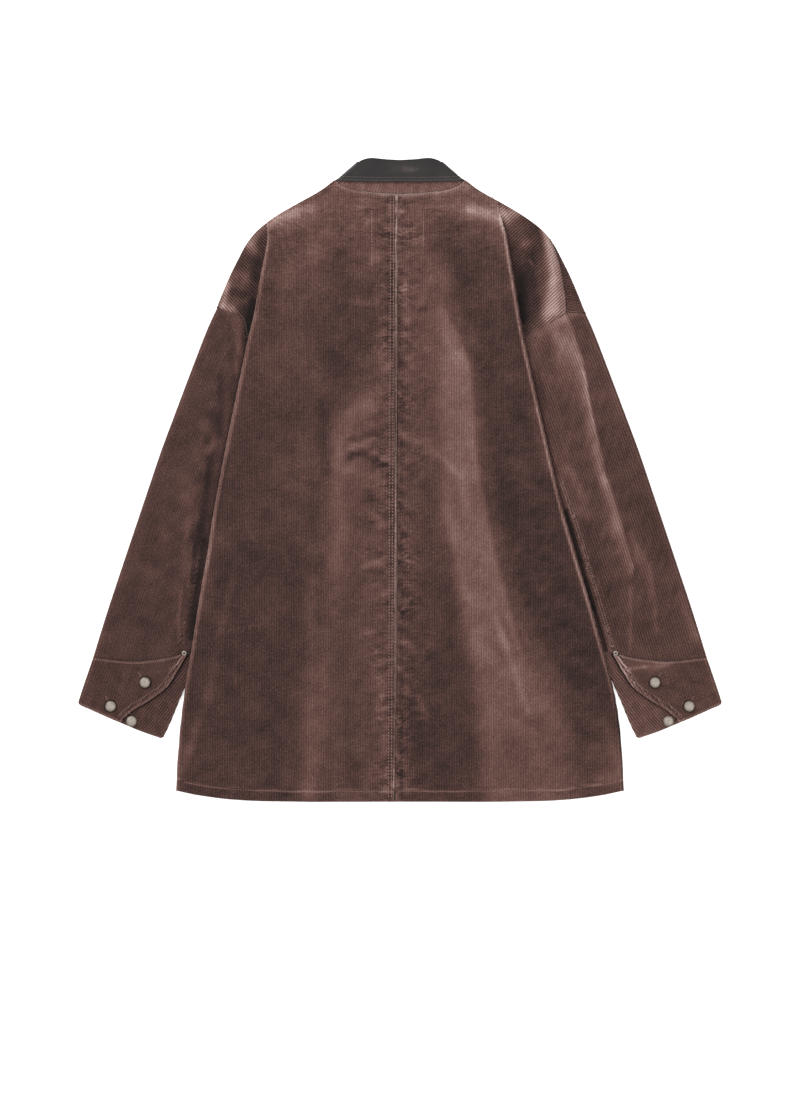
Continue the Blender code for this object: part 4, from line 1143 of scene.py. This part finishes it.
class Tube:
    """A flattened tube between an outer and an inner fold, unrolled from the outer one.

    Distance w is 0 where the top turns under: the top lies at w below 0, and past it come the
    outer half turn, the under side, the inner half turn and a lap. Distance t is along the grain.
    """

    def __init__(self, outer, inner, radii, grain):
        self.outer, self.inner = turned(rounded(outer), grain), turned(rounded(inner), grain)
        self.radii, self.grain = radii, grain

    def folds(self, t):
        """Where the outer and the inner half turns begin, across the grain."""
        return (edge_at(self.outer, t) - CLOTH / 2 - self.radii[0],
                edge_at(self.inner, t) + CLOTH / 2 + self.radii[1])

    def on_top(self, curve):
        g, t = curve.T
        return np.column_stack([np.minimum(g - self.folds(t)[0], 0), t])

    def on_under(self, curve):
        g, t = curve.T
        s_out, s_in = self.folds(t)
        return np.column_stack([math.pi * self.radii[0] + s_out - np.clip(g, s_in, s_out), t])

    def lay(self, w, t, top_level):
        """Rolls the tube up again, with its top at a level worked out from its outward place."""
        r_out, r_in = self.radii
        s_out, s_in = self.folds(t)
        first = math.pi * r_out
        second = first + s_out - s_in
        third = second + math.pi * r_in
        turn_out, turn_in = np.clip(w / r_out, 0, math.pi), np.clip((w - second) / r_in, 0, math.pi)
        parts = [w <= 0, w < first, w < second, w < third]
        g = np.select(parts, [s_out + w, s_out + r_out * np.sin(turn_out), s_out - (w - first),
                              s_in - r_in * np.sin(turn_in)], s_in + (w - third))
        a, y = np.moveaxis(np.dstack([g, t]) @ axes(self.grain), 2, 0)
        rises = [r_out * (1 + np.cos(turn_out)), 0 * w, r_in * (1 - np.cos(turn_in))]
        rise = np.select(parts[1:], rises, LEVEL)
        return np.dstack([a, y, np.where(w <= 0, top_level(a, y), FLOOR_LAYER + rise)])


def sleeve_parts(side):
    """The sleeve's tube, its armhole and its cuff seam, in (across, along the grain)."""
    tube = Tube(SLEEVE_OUTER, SLEEVE_INNER[side], SLEEVE_RADII, SLEEVE_GRAIN)
    hole = turned(offset(rounded(ARMHOLE[side], 4), SEAM), SLEEVE_GRAIN)
    seam = turned(offset(rounded(CUFF_SEAM, 4), -SEAM), SLEEVE_GRAIN)
    tube.inner = np.vstack([[tube.inner[0, 0], 400.0], tube.inner])
    return tube, hole, seam


def sleeve_level(side, a, y):
    """Middle of the sleeve's top layer: it puffs up beyond the body's edge and falls to its outer fold."""
    tube, _, seam = sleeve_parts(side)
    g, t = np.moveaxis(np.stack([a, y], -1) @ axes(SLEEVE_GRAIN).T, -1, 0)
    clear = a - line_at(SIDE_EDGE[side], y)
    start = smooth((a - line_at(ARMHOLE[side], np.clip(y, ARMPIT_Y, SLEEVE_OUTER["y"][0]))) / 16)
    puff = smooth((clear - 3) / PUFF_RUN) * start
    soft = relief(SLEEVE_FOLDS[side], a, y) * 1.5
    soft += 0.2 * ripple(a, y, 38, 31 + side) + 0.15 * ripple(a, y, 17, 35)
    level = WING + PUFF * puff + soft * puff * smooth((t - seam[:, 1].max()) / 22)
    level += 0.55 * bell(distance_to(points(UNDERARM[side]), a, y), 3.2) * smooth((clear - 1) / 5)
    rim_level = FLOOR_LAYER + 2 * SLEEVE_RADII[0]
    return rim_level + (level - rim_level) * smooth((edge_at(tube.outer, t) - 3 - g) / 14)


def sleeve_piece(side):
    """A flattened sleeve, cut in one, its seam at the hidden inner fold."""
    tube, hole, seam = sleeve_parts(side)
    t = np.array([hole[-1, 1], seam[-1, 1]])
    s_out, s_in = tube.folds(t)
    ends = np.column_stack([math.pi * sum(tube.radii) + s_out - s_in, t])
    w, t, g, run = pattern(np.vstack([tube.on_top(hole[::-1]), tube.on_under(hole), ends,
                                      tube.on_under(seam)[::-1], tube.on_top(seam)]), rows=110)
    middle = tube.lay(w, t, lambda a, y: sleeve_level(side, a, y))
    a, y = middle[..., 0], middle[..., 1]
    clear = a - line_at(SIDE_EDGE[side], y)
    # Painted light and shade by slope.
    nap = 0.015 * ripple(a, y, 32, 41 + side) + 0.015 * ripple(a, y, 90, 43) + slope_shade(middle, side, 0.4)
    nap += SLEEVE_TONE[side] + streaks(SLEEVE_STREAKS[side], a, y)
    # A painted highlight along the outer fold, and painted shadow on the sleeve beside the body's edge.
    nap += 0.05 * bell(w + 1, 3.0) - 0.12 * np.exp(-np.maximum(clear, 0) / 2.0)
    # A painted highlight along the armhole seam's edge, mottled.
    cap = distance_to(rounded(ARMHOLE[side], 4), a, y)
    nap += 0.12 * bell(cap - 1.6, 1.3) * (0.7 + 0.5 * ripple(a, y, 9, 45))
    # Painted light and shade of the puckers along the underarm seam.
    seam_pucker_shade = 0.03 + (0.10 if side < 0 else 0.15) * ripple(a, y, 5.5, 46)
    nap += seam_pucker_shade * bell(distance_to(points(UNDERARM[side]), a, y), 3.4) * smooth((clear - 2) / 3)
    sheet = layer(middle, g, run, side, np.where(w > 0, 0.05, nap), wale(g), contrast=SLEEVE_CONTRAST[side])
    return build(f"sleeve_cloth_{WORD[side]}", [sheet], CORDUROY)


def cuff_main(side, tube, seam, hem, lap):
    """The cuff's upper lap, outer fold and under side."""
    w, t, g, run = pattern(np.vstack([
        tube.on_top(lap), tube.on_top(hem[hem[:, 0] > lap[-1, 0] + 1][::-1]), tube.on_under(hem),
        tube.on_under(seam[::-1]), tube.on_top(seam[seam[:, 0] > lap[0, 0] + 1])]), rows=64)
    middle = tube.lay(w, t, lambda a, y: RETURN + 0.18 * ripple(a, y, 20, 51 + side))
    a, y = middle[..., 0], middle[..., 1]
    gap = distance_to(rounded(LAP_EDGE, 5), a, y)
    nap = 0.02 * ripple(a, y, 16, 53 + side) + CUFF_TONE[side] + streaks(CUFF_STREAKS[side], a, y)
    # Painted highlights along the lap's edge, the cuff seam, the hem and the outer fold.
    nap += 0.22 * bell(gap - 0.6, 1.2) + 0.18 * bell(distance_to(points(CUFF_SEAM), a, y) - 1, 1.5) \
        + 0.198 * bell(distance_to(points(CUFF_HEM), a, y) - 1.6, 1.3) + 0.08 * bell(w + 0.5, 2.0)
    # Painted shadow in a ring round each button on the upper lap.
    for button_a, button_y in points(BUTTONS)[:2]:
        nap -= 0.16 * bell(np.hypot(a - button_a, y - button_y) - BUTTON_RADIUS - 0.6, 1.1)
    # Mottled light along the lap's band, part wear and part painted highlight, stronger toward the top.
    wear_and_highlight = (0.6 + 0.8 * smooth((y - BELOW_CUFF) / 40)) * bell(gap - 5, 3.6) * (0.8 if side < 0 else 1.3)
    nap += (0.06 + 0.22 * ripple(a, y, 5, 59)) * wear_and_highlight
    return layer(middle, g, run, side, nap, wale(g), contrast=0.55)


def cuff_lap(side, tube, seam, hem, tongue):
    """The inner half turn and the under lap, at distances w from the start of the lap."""
    turn_length = math.pi * CUFF_RADII[1]

    def on_lap(curve):
        g, t = curve.T
        return np.column_stack([np.maximum(g - tube.folds(t)[1], -turn_length), t])

    high, low = tube.inner[:, 1].max(), tube.inner[:, 1].min() + 1
    rim = np.column_stack([np.full(20, -turn_length), np.linspace(high, low, 20)])
    w, t, g, run = pattern(np.vstack([
        rim, on_lap(hem[hem[:, 0] < tongue[-1, 0] - 1][::-1]), on_lap(tongue[::-1]),
        on_lap(seam[seam[:, 0] < tongue[0, 0] - 1])]), LAP_TILT, rows=56)
    turn = np.clip(-w / CUFF_RADII[1], 0, math.pi)
    flat_g = tube.folds(t)[1] + np.where(w < 0, -CUFF_RADII[1] * np.sin(turn), w)
    z = np.where(w < 0, FLOOR_LAYER + CUFF_RADII[1] * (1 + np.cos(turn)), WING)
    a, y = np.moveaxis(np.dstack([flat_g, t]) @ axes(CUFF_GRAIN), 2, 0)
    # Painted shadow on the under lap beside the upper lap's edge, deeper toward the top; painted highlights
    # along the fold and the hem.
    shade = np.exp(-distance_to(rounded(LAP_EDGE, 5), a, y) / 1.5)
    shade *= 0.6 + 0.8 * smooth((y - BELOW_CUFF) / 40)
    nap = 0.02 * ripple(a, y, 18, 57) + 0.05 * side - 0.55 * shade + 0.06 * bell(w, 2.0) \
        + 0.1 * bell(distance_to(points(CUFF_HEM), a, y) - 1, 1.4)
    return layer(np.dstack([a, y, z]), g, run, side, nap, wale(g), contrast=1.4)


def cuff_piece(side):
    """One cuff, wrapped round: its upper lap over the under lap, with a diagonal edge."""
    tube = Tube(CUFF_OUTER, CUFF_INNER, CUFF_RADII, CUFF_GRAIN)
    seam, hem, lap, tongue = (turned(rounded(rows, 5), CUFF_GRAIN)
                              for rows in (CUFF_SEAM, CUFF_HEM, LAP_EDGE, UNDER_LAP_EDGE))
    layers = [cuff_main(side, tube, seam, hem, lap), cuff_lap(side, tube, seam, hem, tongue)]
    return build(f"cuff_cloth_{WORD[side]}", layers, CORDUROY)


# ---------------------------------------------------------------- the front

def front_piece(side):
    """A front panel face down on the floor, cut in three where its armhole bends inward."""
    seam = rounded(SIDE_SEAM[side]) - (SEAM, 0)
    hole = rounded(ARMHOLE[side], 4) - (SEAM, 0)
    neck = rounded(points(FRONT_NECK)[:-1], 5)
    shoulder = rounded(SHOULDER, 3)
    shoulder = shoulder[shoulder[:, 0] > NECK_HALF + 0.5]
    split = seam[:, 0].min() - 0.3
    top = [[split, np.interp(split, shoulder[:, 0], shoulder[:, 1])]]
    outer_shoulder = shoulder[shoulder[:, 0] > split][::-1]
    body = np.vstack([hem_span(-OVERLAP, split, 12), top, shoulder[shoulder[:, 0] < split][::-1], neck,
                      points(FRONT_NECK)[-1:]])
    low = np.vstack([hem_span(split, seam[-1, 0], 12), seam[seam[:, 0] > split][::-1], [[split, ARMPIT_Y]]])
    high = np.vstack([[[split, ARMPIT_Y + 0.5]], hole[hole[:, 0] > split][::-1], outer_shoulder, top])
    layers = []
    for outline, rows in ((body, 70), (low, 50), (high, 40)):
        a, y, g, t = pattern(outline, rows=rows)
        z = FLOOR_LAYER + collar_lift(side * a, y, COLLAR_REACH, COLLAR_RAMP)
        if side < 0:
            z += (LEVEL + GAP) * (1 - smooth((a - LAP_EASE[0]) / LAP_EASE[1]))
        nap = 0.02 * ripple(a, y, 40, 61 + side)
        layers.append(layer(np.dstack([a, y, z]), g, t, side, nap, wale(g), flip=True))
    if side > 0:
        layers.append(shoulder_flap())
    return build(f"front_panel_{WORD[side]}", layers, CORDUROY)


def shoulder_flap(count=150):
    """The right front where it wraps over the shoulder line to its seam on the back."""
    shoulder = rounded(SHOULDER)
    edge = np.vstack([shoulder[shoulder[:, 0] > BACK_SEAM["a"][0] - 4], [[241.6, 215.6]]])
    edge = along(edge, count)
    seam = along(offset(rounded(BACK_SEAM), 0.7), count)
    seam[-1] = (217.0, 216.4)
    normal = offset(edge, 1) - edge
    columns = []
    for angle in np.linspace(0, math.pi, 9):
        place = edge + normal * (TURN_RADIUS * math.sin(angle) - TURN_RADIUS - CLOTH / 2)
        rise = TURN_RADIUS * (1 - math.cos(angle))
        columns.append(np.column_stack([place, np.full(count, FLOOR_LAYER + rise)]))
    for share in np.linspace(0, 1, 15)[1:]:
        columns.append(np.column_stack([place + share * (seam - place), np.full(count, WING)]))
    middle = np.stack(columns, axis=1)
    a, y = middle[..., 0], middle[..., 1]
    g = a * math.cos(FLAP_GRAIN) + y * math.sin(FLAP_GRAIN)
    nap = 0.02 * ripple(a, y, 22, 71) - 0.09 + 0.05 * smooth((238 - y) / 18)
    return layer(middle, g, a, 1, nap, wale(g), flip=True, contrast=1.3)


# ---------------------------------------------------------------- collar

def collar_band(lower, upper, wing_lower, wing_upper, back, front, columns, rows):
    """Middle of a band across the back of the neck, turned under at each side crease to run down
    in front. The back and front are its levels there."""
    radius = (back - front) / 2
    low, high = along(rounded(lower), columns), along(rounded(upper), columns)
    crease = along([low[0], high[0]], rows)
    run, rise = high[0] - low[0]
    out = np.array([rise, -run]) / math.hypot(rise, run)
    flat = patch(low, high, crease, along([low[-1], high[-1]], rows))
    flat = np.dstack([flat, np.full(flat.shape[:2], back)])
    steps = [np.column_stack([flat[:, 0, :2] + out * radius * math.sin(angle),
                              flat[:, 0, 2] - radius * (1 - math.cos(angle))])
             for angle in np.linspace(math.pi, 0, 13)[1:-1]]
    wing_low, wing_high = along(wing_lower, columns), along(rounded(wing_upper), columns)
    wing_low[0], wing_high[0] = crease[0], crease[-1]
    wing = patch(wing_low, wing_high, crease, along([wing_low[-1], wing_high[-1]], rows))
    wing = np.dstack([wing, np.full(wing.shape[:2], front)])
    half = np.concatenate([wing[:, ::-1], np.stack(steps, axis=1), flat], axis=1)
    return np.concatenate([half * (-1, 1, 1), half[:, ::-1][:, 1:]], axis=1)


def collar_piece(name, middle, ribbed, material):
    """The corduroy stand, or the leather leaf with its dips under the two stitch lines."""
    x, y = middle[..., 0], middle[..., 1]
    gaps = np.linalg.norm(np.diff(middle, axis=1), axis=2).mean(0)
    g = np.concatenate([[0], np.cumsum(gaps)])[None, :] + 0 * x
    share = np.linspace(0, 1, len(x))[:, None] + 0 * x
    t = 30 * share
    if ribbed:
        height = wale(g)
        # The stand is painted darker toward its top, as shade under the leaf's edge.
        nap = 0.12 - 0.05 * smooth(share / 0.6) + 0.03 * ripple(x, y, 14, 81)
    else:
        height = 1 - 0.3 * np.abs(ripple(x, y, 26, 83))
        nap = 0.30 * bell(share - 0.55, 0.22) * bell(x - 8, 26) - 0.12 * smooth((share - 0.75) / 0.25)
        nap += 0.16 * bell(t - 1.4, 1.6) + 0.14 * bell(t - 5.4, 1.2) - 0.27
        for gap in LEAF_STITCHES:
            height -= 0.8 * bell(t - gap, 0.7)
    return build(name, [layer(middle, g, t, 1, nap, height)], material)


# ---------------------------------------------------------------- stitching and metal

# One stitch: the place of its five rings along it, their girth and how deep each lies.
STITCH_RINGS = np.array([-1, -0.62, 0, 0.62, 1]) / 2
STITCH_GIRTH = np.array([0.25, 0.85, 1.0, 0.85, 0.25])
STITCH_DIP = np.array([-0.35, -0.05, 0.12, -0.05, -0.35])
SIDES = 6


def stitch_row(path, level, pitch=3.4, length=2.3, radius=0.32):
    """Stitches along a path: six-sided grains of thread, each lying in its own small dip."""
    path = np.asarray(path, float)
    far = reach(path)
    at = np.arange(pitch / 2, far[-1] - pitch / 2, pitch)
    centre, ahead = (np.column_stack([np.interp(place, far, column) for column in path.T])
                     for place in (at, at + 0.5))
    way = ahead - centre
    way /= np.maximum(np.hypot(way[:, 0], way[:, 1]), 1e-9)[:, None]
    beside = np.column_stack([-way[:, 1], way[:, 0]])
    z = level(*centre.T) if callable(level) else np.full(len(centre), level)
    girth = STITCH_GIRTH[:, None] * radius
    turn = np.arange(SIDES) * 2 * math.pi / SIDES
    place = (centre[:, None, None, :] + way[:, None, None, :] * (STITCH_RINGS * length)[None, :, None, None]
             + beside[:, None, None, :] * (girth * np.cos(turn))[None, :, :, None])
    high = z[:, None, None] + STITCH_DIP[None, :, None] + (girth * np.sin(turn))[None]
    return np.concatenate([place, high[..., None]], axis=3)


def stitches(name, rows, material):
    """Every stitch of several rows as one mesh: rings of points, closed at both ends."""
    rings = np.concatenate(rows)
    ring = np.arange(SIDES)
    after = (ring + 1) % SIDES
    last = SIDES * (len(STITCH_RINGS) - 1)
    sides = np.concatenate([np.stack([k + ring, k + SIDES + ring, k + SIDES + after, k + after], -1)
                            for k in range(0, last, SIDES)])
    first = (np.arange(len(rings)) * (last + SIDES))[:, None, None]
    faces = (first + sides).reshape(-1, 4).tolist()
    faces += (first + np.stack([ring, last + ring[::-1]])).reshape(-1, SIDES).tolist()
    mesh = bpy.data.meshes.new(name)
    mesh.from_pydata((rings.reshape(-1, 3) * MM).tolist(), [], faces)
    return finish_mesh(mesh, material)


def turned_piece(name, centre, base, radius, profile, steps=40):
    """A metal profile turned round its centre and closed at the middle."""
    profile = np.array(profile)
    angles = np.linspace(0, 2 * math.pi, steps, endpoint=False)
    x = centre[0] + radius * profile[:, :1] * np.cos(angles)
    y = centre[1] + radius * profile[:, :1] * np.sin(angles)
    places = np.dstack([x, y, base + profile[:, 1:2] + 0 * x]).reshape(-1, 3) * MM
    index = np.arange(len(places)).reshape(-1, steps)
    after = np.roll(index, -1, axis=1)
    faces = np.stack([index[:-1], after[:-1], after[1:], index[1:]], -1).reshape(-1, 4).tolist()
    faces += [index[0, ::-1].tolist(), index[-1].tolist()]
    mesh = bpy.data.meshes.new(name)
    mesh.from_pydata(places.tolist(), [], faces)
    return finish_mesh(mesh, METAL, nap=np.repeat(profile[:, 2], steps))


def back_face(x, y):
    """Height of a stitch on the back's outer face."""
    halves = [lay_back(side, side * x[None], y[None])[0][0, :, 2] for side in (-1, 1)]
    return np.where(x < centre_line(y), *halves) + CLOTH / 2 + THREAD_LIFT


def underarm_face(x, y):
    """The same on the right sleeve."""
    return sleeve_level(1, x, y) + CLOTH / 2 + THREAD_LIFT


def back_stitching():
    """Rows down the centre back and the label's sides."""
    y = np.linspace(HEM_Y + 6, NECK_DROP - 3, 60)
    rows = []
    for gap in WELT_STITCHES:
        welt_line = np.column_stack([centre_line(y) - gap, y])
        rows.append(stitch_row(welt_line, back_face, pitch=4.1, length=2.6, radius=0.62))
    for x, low, high in LABEL_STITCHES:
        span = np.linspace(low, high, 6)
        label_side = np.column_stack([0 * span + x, span])
        rows.append(stitch_row(label_side, back_face, pitch=3.6, length=2.2, radius=0.34))
    return rows


def side_stitching(side):
    """Rows along half the hem and neck, on one cuff, round its buttonholes, on the armhole and, on
    the right, on two more seams."""
    on_cuff, on_wing = (level + CLOTH / 2 + THREAD_LIFT for level in (RETURN, WING))
    fine = {"pitch": 3.0, "length": 2.0}
    hem = hem_span(1 - CENTRE_HEM if side < 0 else 0, 282, 60) + (0, HEM_STITCH)
    neck = np.linspace(2, NECK_HALF - 3, 40)
    neck = np.column_stack([neck, top_line(neck) - 2.6])
    seam, lap, hole = rounded(CUFF_SEAM), rounded(LAP_EDGE), rounded(ARMHOLE[side])
    rows = [stitch_row(hem * (side, 1), back_face), stitch_row(neck * (side, 1), back_face, **fine),
            stitch_row(offset(seam[seam[:, 0] > 283], 2.4) * (side, 1), on_cuff, **fine)]
    for gap in (2.4, 7.5):
        inside = offset(lap, gap)
        inside = inside[(inside[:, 1] > -312) & (inside[:, 1] < -236)]
        rows.append(stitch_row(inside * (side, 1), on_cuff, **fine))
    shown = (hole[:, 0] - line_at(SIDE_EDGE[side], hole[:, 1]) > 2) & (hole[:, 0] < 236)
    rows.append(stitch_row(offset(hole[shown], -1.8) * (side, 1), on_wing, pitch=3.2, length=2.0))
    if side > 0:
        for gap in (2.0, 7.5):
            rows.append(stitch_row(offset(rounded(BACK_SEAM), -gap)[2:], on_wing, pitch=3.2, length=2.0))
        for gap in (-1.6, 1.6):
            under = offset(along(points(UNDERARM[side]), 30), gap)
            rows.append(stitch_row(under, underarm_face, pitch=3.4, length=2.2, radius=0.42))
    for button, out in zip(points(BUTTONS), np.array(BUTTONHOLES)):
        for gap in (-0.7, 0.7):
            edge = offset(along([button + out, button + 0.52 * out], 8), gap)
            rows.append(stitch_row(edge * (side, 1), on_cuff, pitch=1.5, length=1.3))
    return rows


def leaf_stitching():
    """Two rows along the collar leaf's lower edge, on each side of its middle."""
    lower = rounded(LEAF_LOWER)[::-1]
    rows = []
    for side in (-1, 1):
        for gap in LEAF_STITCHES:
            path = lower * (side, 1) + (0, gap)
            path = path[np.abs(path[:, 0]) < NECK_HALF - 1.25 * gap]
            rows.append(stitch_row(path, LEAF_BACK + CLOTH / 2 - 0.05, pitch=3.1, length=2.1, radius=0.3))
    return rows


def metal(piece, node):
    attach(piece, "root")
    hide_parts(node)


def buttons():
    """Tack buttons and a rivet on each cuff."""
    for side, word in WORD.items():
        for number, (a, y, upper) in enumerate(zip(*BUTTONS.values()), 1):
            level = (RETURN if upper else WING) + CLOTH / 2 + GAP
            button = turned_piece(f"tack_button_{word}_{number}", (side * a, y), level,
                                  BUTTON_RADIUS, BUTTON_PROFILE)
            metal(button, f"cuff_button_{word}_{number}")
        rivet = turned_piece(f"rivet_{word}", (side * RIVET[0], RIVET[1]), RETURN + CLOTH / 2 + GAP,
                             RIVET_RADIUS, RIVET_PROFILE, steps=24)
        metal(rivet, f"cuff_rivet_{word}")


# ---------------------------------------------------------------- stage

CAMERA_HEIGHT = 6.0
FRAME_HEIGHT = 1.4457            # height of the view at the floor, in metres
CAMERA_AT = (0.00005, -0.0995)
SENSOR = 24.0                    # height of the camera's sensor, in its own millimetres
FLOOR_HALF = 6.0
FLOOR_Z = -0.0002


def area_light(name, place, size, power):
    """A rectangular light aimed at the origin."""
    light = bpy.data.lights.new(name, "AREA")
    light.shape = "RECTANGLE"
    light.size = light.size_y = size
    light.energy = power
    lamp = add_object(name, light)
    lamp.location = place
    x, y, z = place
    lamp.rotation_euler = (math.atan2(math.hypot(x, y), z), 0, math.atan2(-y, -x) - math.pi / 2)


def stage():
    """A pale floor, soft light from above and behind the collar, and a camera straight overhead."""
    material, tree, shader = new_material(
        "pale paper floor", Base_Color=linear("#f6f5f4"), Roughness=0.9, Emission_Color=(1, 1, 1, 1),
        Emission_Strength=0.35)
    tooth = noise(tree, add(tree, "ShaderNodeTexCoord").outputs["Object"], Scale=900.0, Detail=2.0)
    bump(tree, tooth, 0.05, 0.0002, shader)
    mesh = bpy.data.meshes.new("floor")
    corners = [(x * FLOOR_HALF, y * FLOOR_HALF, FLOOR_Z) for x, y in ((-1, -1), (1, -1), (1, 1), (-1, 1))]
    mesh.from_pydata(corners, [], [(0, 1, 2, 3)])
    mesh.materials.append(material)
    floor = add_object("floor", mesh)

    world = bpy.data.worlds.new("studio")
    world.use_nodes = True
    background = world.node_tree.nodes["Background"]
    background.inputs["Color"].default_value = (1, 1, 1, 1)
    background.inputs["Strength"].default_value = 1.3
    area_light("key", (-1.5, 1.7, 1.35), 1.1, 48)
    area_light("fill", (1.8, -0.6, 2.6), 2.0, 12)

    camera = bpy.data.cameras.new("overhead")
    camera.type = "PERSP"
    camera.sensor_fit = "VERTICAL"
    camera.sensor_height = SENSOR
    camera.lens = SENSOR * CAMERA_HEIGHT / FRAME_HEIGHT
    camera.clip_end = 50
    eye = add_object("overhead", camera)
    eye.location = (*CAMERA_AT, CAMERA_HEIGHT)
    scene = bpy.context.scene
    scene.world, scene.camera = world, eye
    scene.view_settings.view_transform = "Standard"


def cloth(piece, node):
    """Attaches a cut piece of cloth to the root and hides the solid it stands for."""
    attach(piece, "root")
    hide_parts(node)


def main():
    stage()
    cut = {word: (back_piece(side), front_piece(side), sleeve_piece(side), cuff_piece(side))
           for side, word in WORD.items()}
    stand_front = offset(rounded(points(FRONT_NECK)[:-1], 4), -NECK_CLEAR)
    stand = collar_band(STAND_LOWER, STAND_UPPER, stand_front, STAND_FRONT_UPPER,
                        STAND_BACK, STAND_FRONT, 90, 18)
    leaf = collar_band(LEAF_LOWER, ROLL, rounded(WING_OUTER, 4), WING_ROLL, LEAF_BACK, FLOOR_LAYER, 70, 40)
    stand = collar_piece("collar_stand_cloth", stand, True, CORDUROY)
    leaf = collar_piece("collar_leaf_leather", leaf, False, LEATHER)
    thread = stitches("topstitching", back_stitching() + side_stitching(-1) + side_stitching(1), THREAD)
    collar_thread = stitches("collar_topstitching", leaf_stitching(), COLLAR_THREAD)
    buttons()
    for piece, slot in ((thread, "corduroy"), (collar_thread, "collar_leather")):
        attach(piece, "root")
    for word, (back, front, arm, cuff) in cut.items():
        cloth(front, f"front_{word}")
        cloth(back, f"back_{word}")
        cloth(arm, f"sleeve_{word}")
        cloth(cuff, f"cuff_{word}")
    cloth(stand, "collar_stand")
    cloth(leaf, "collar_leaf")


main()
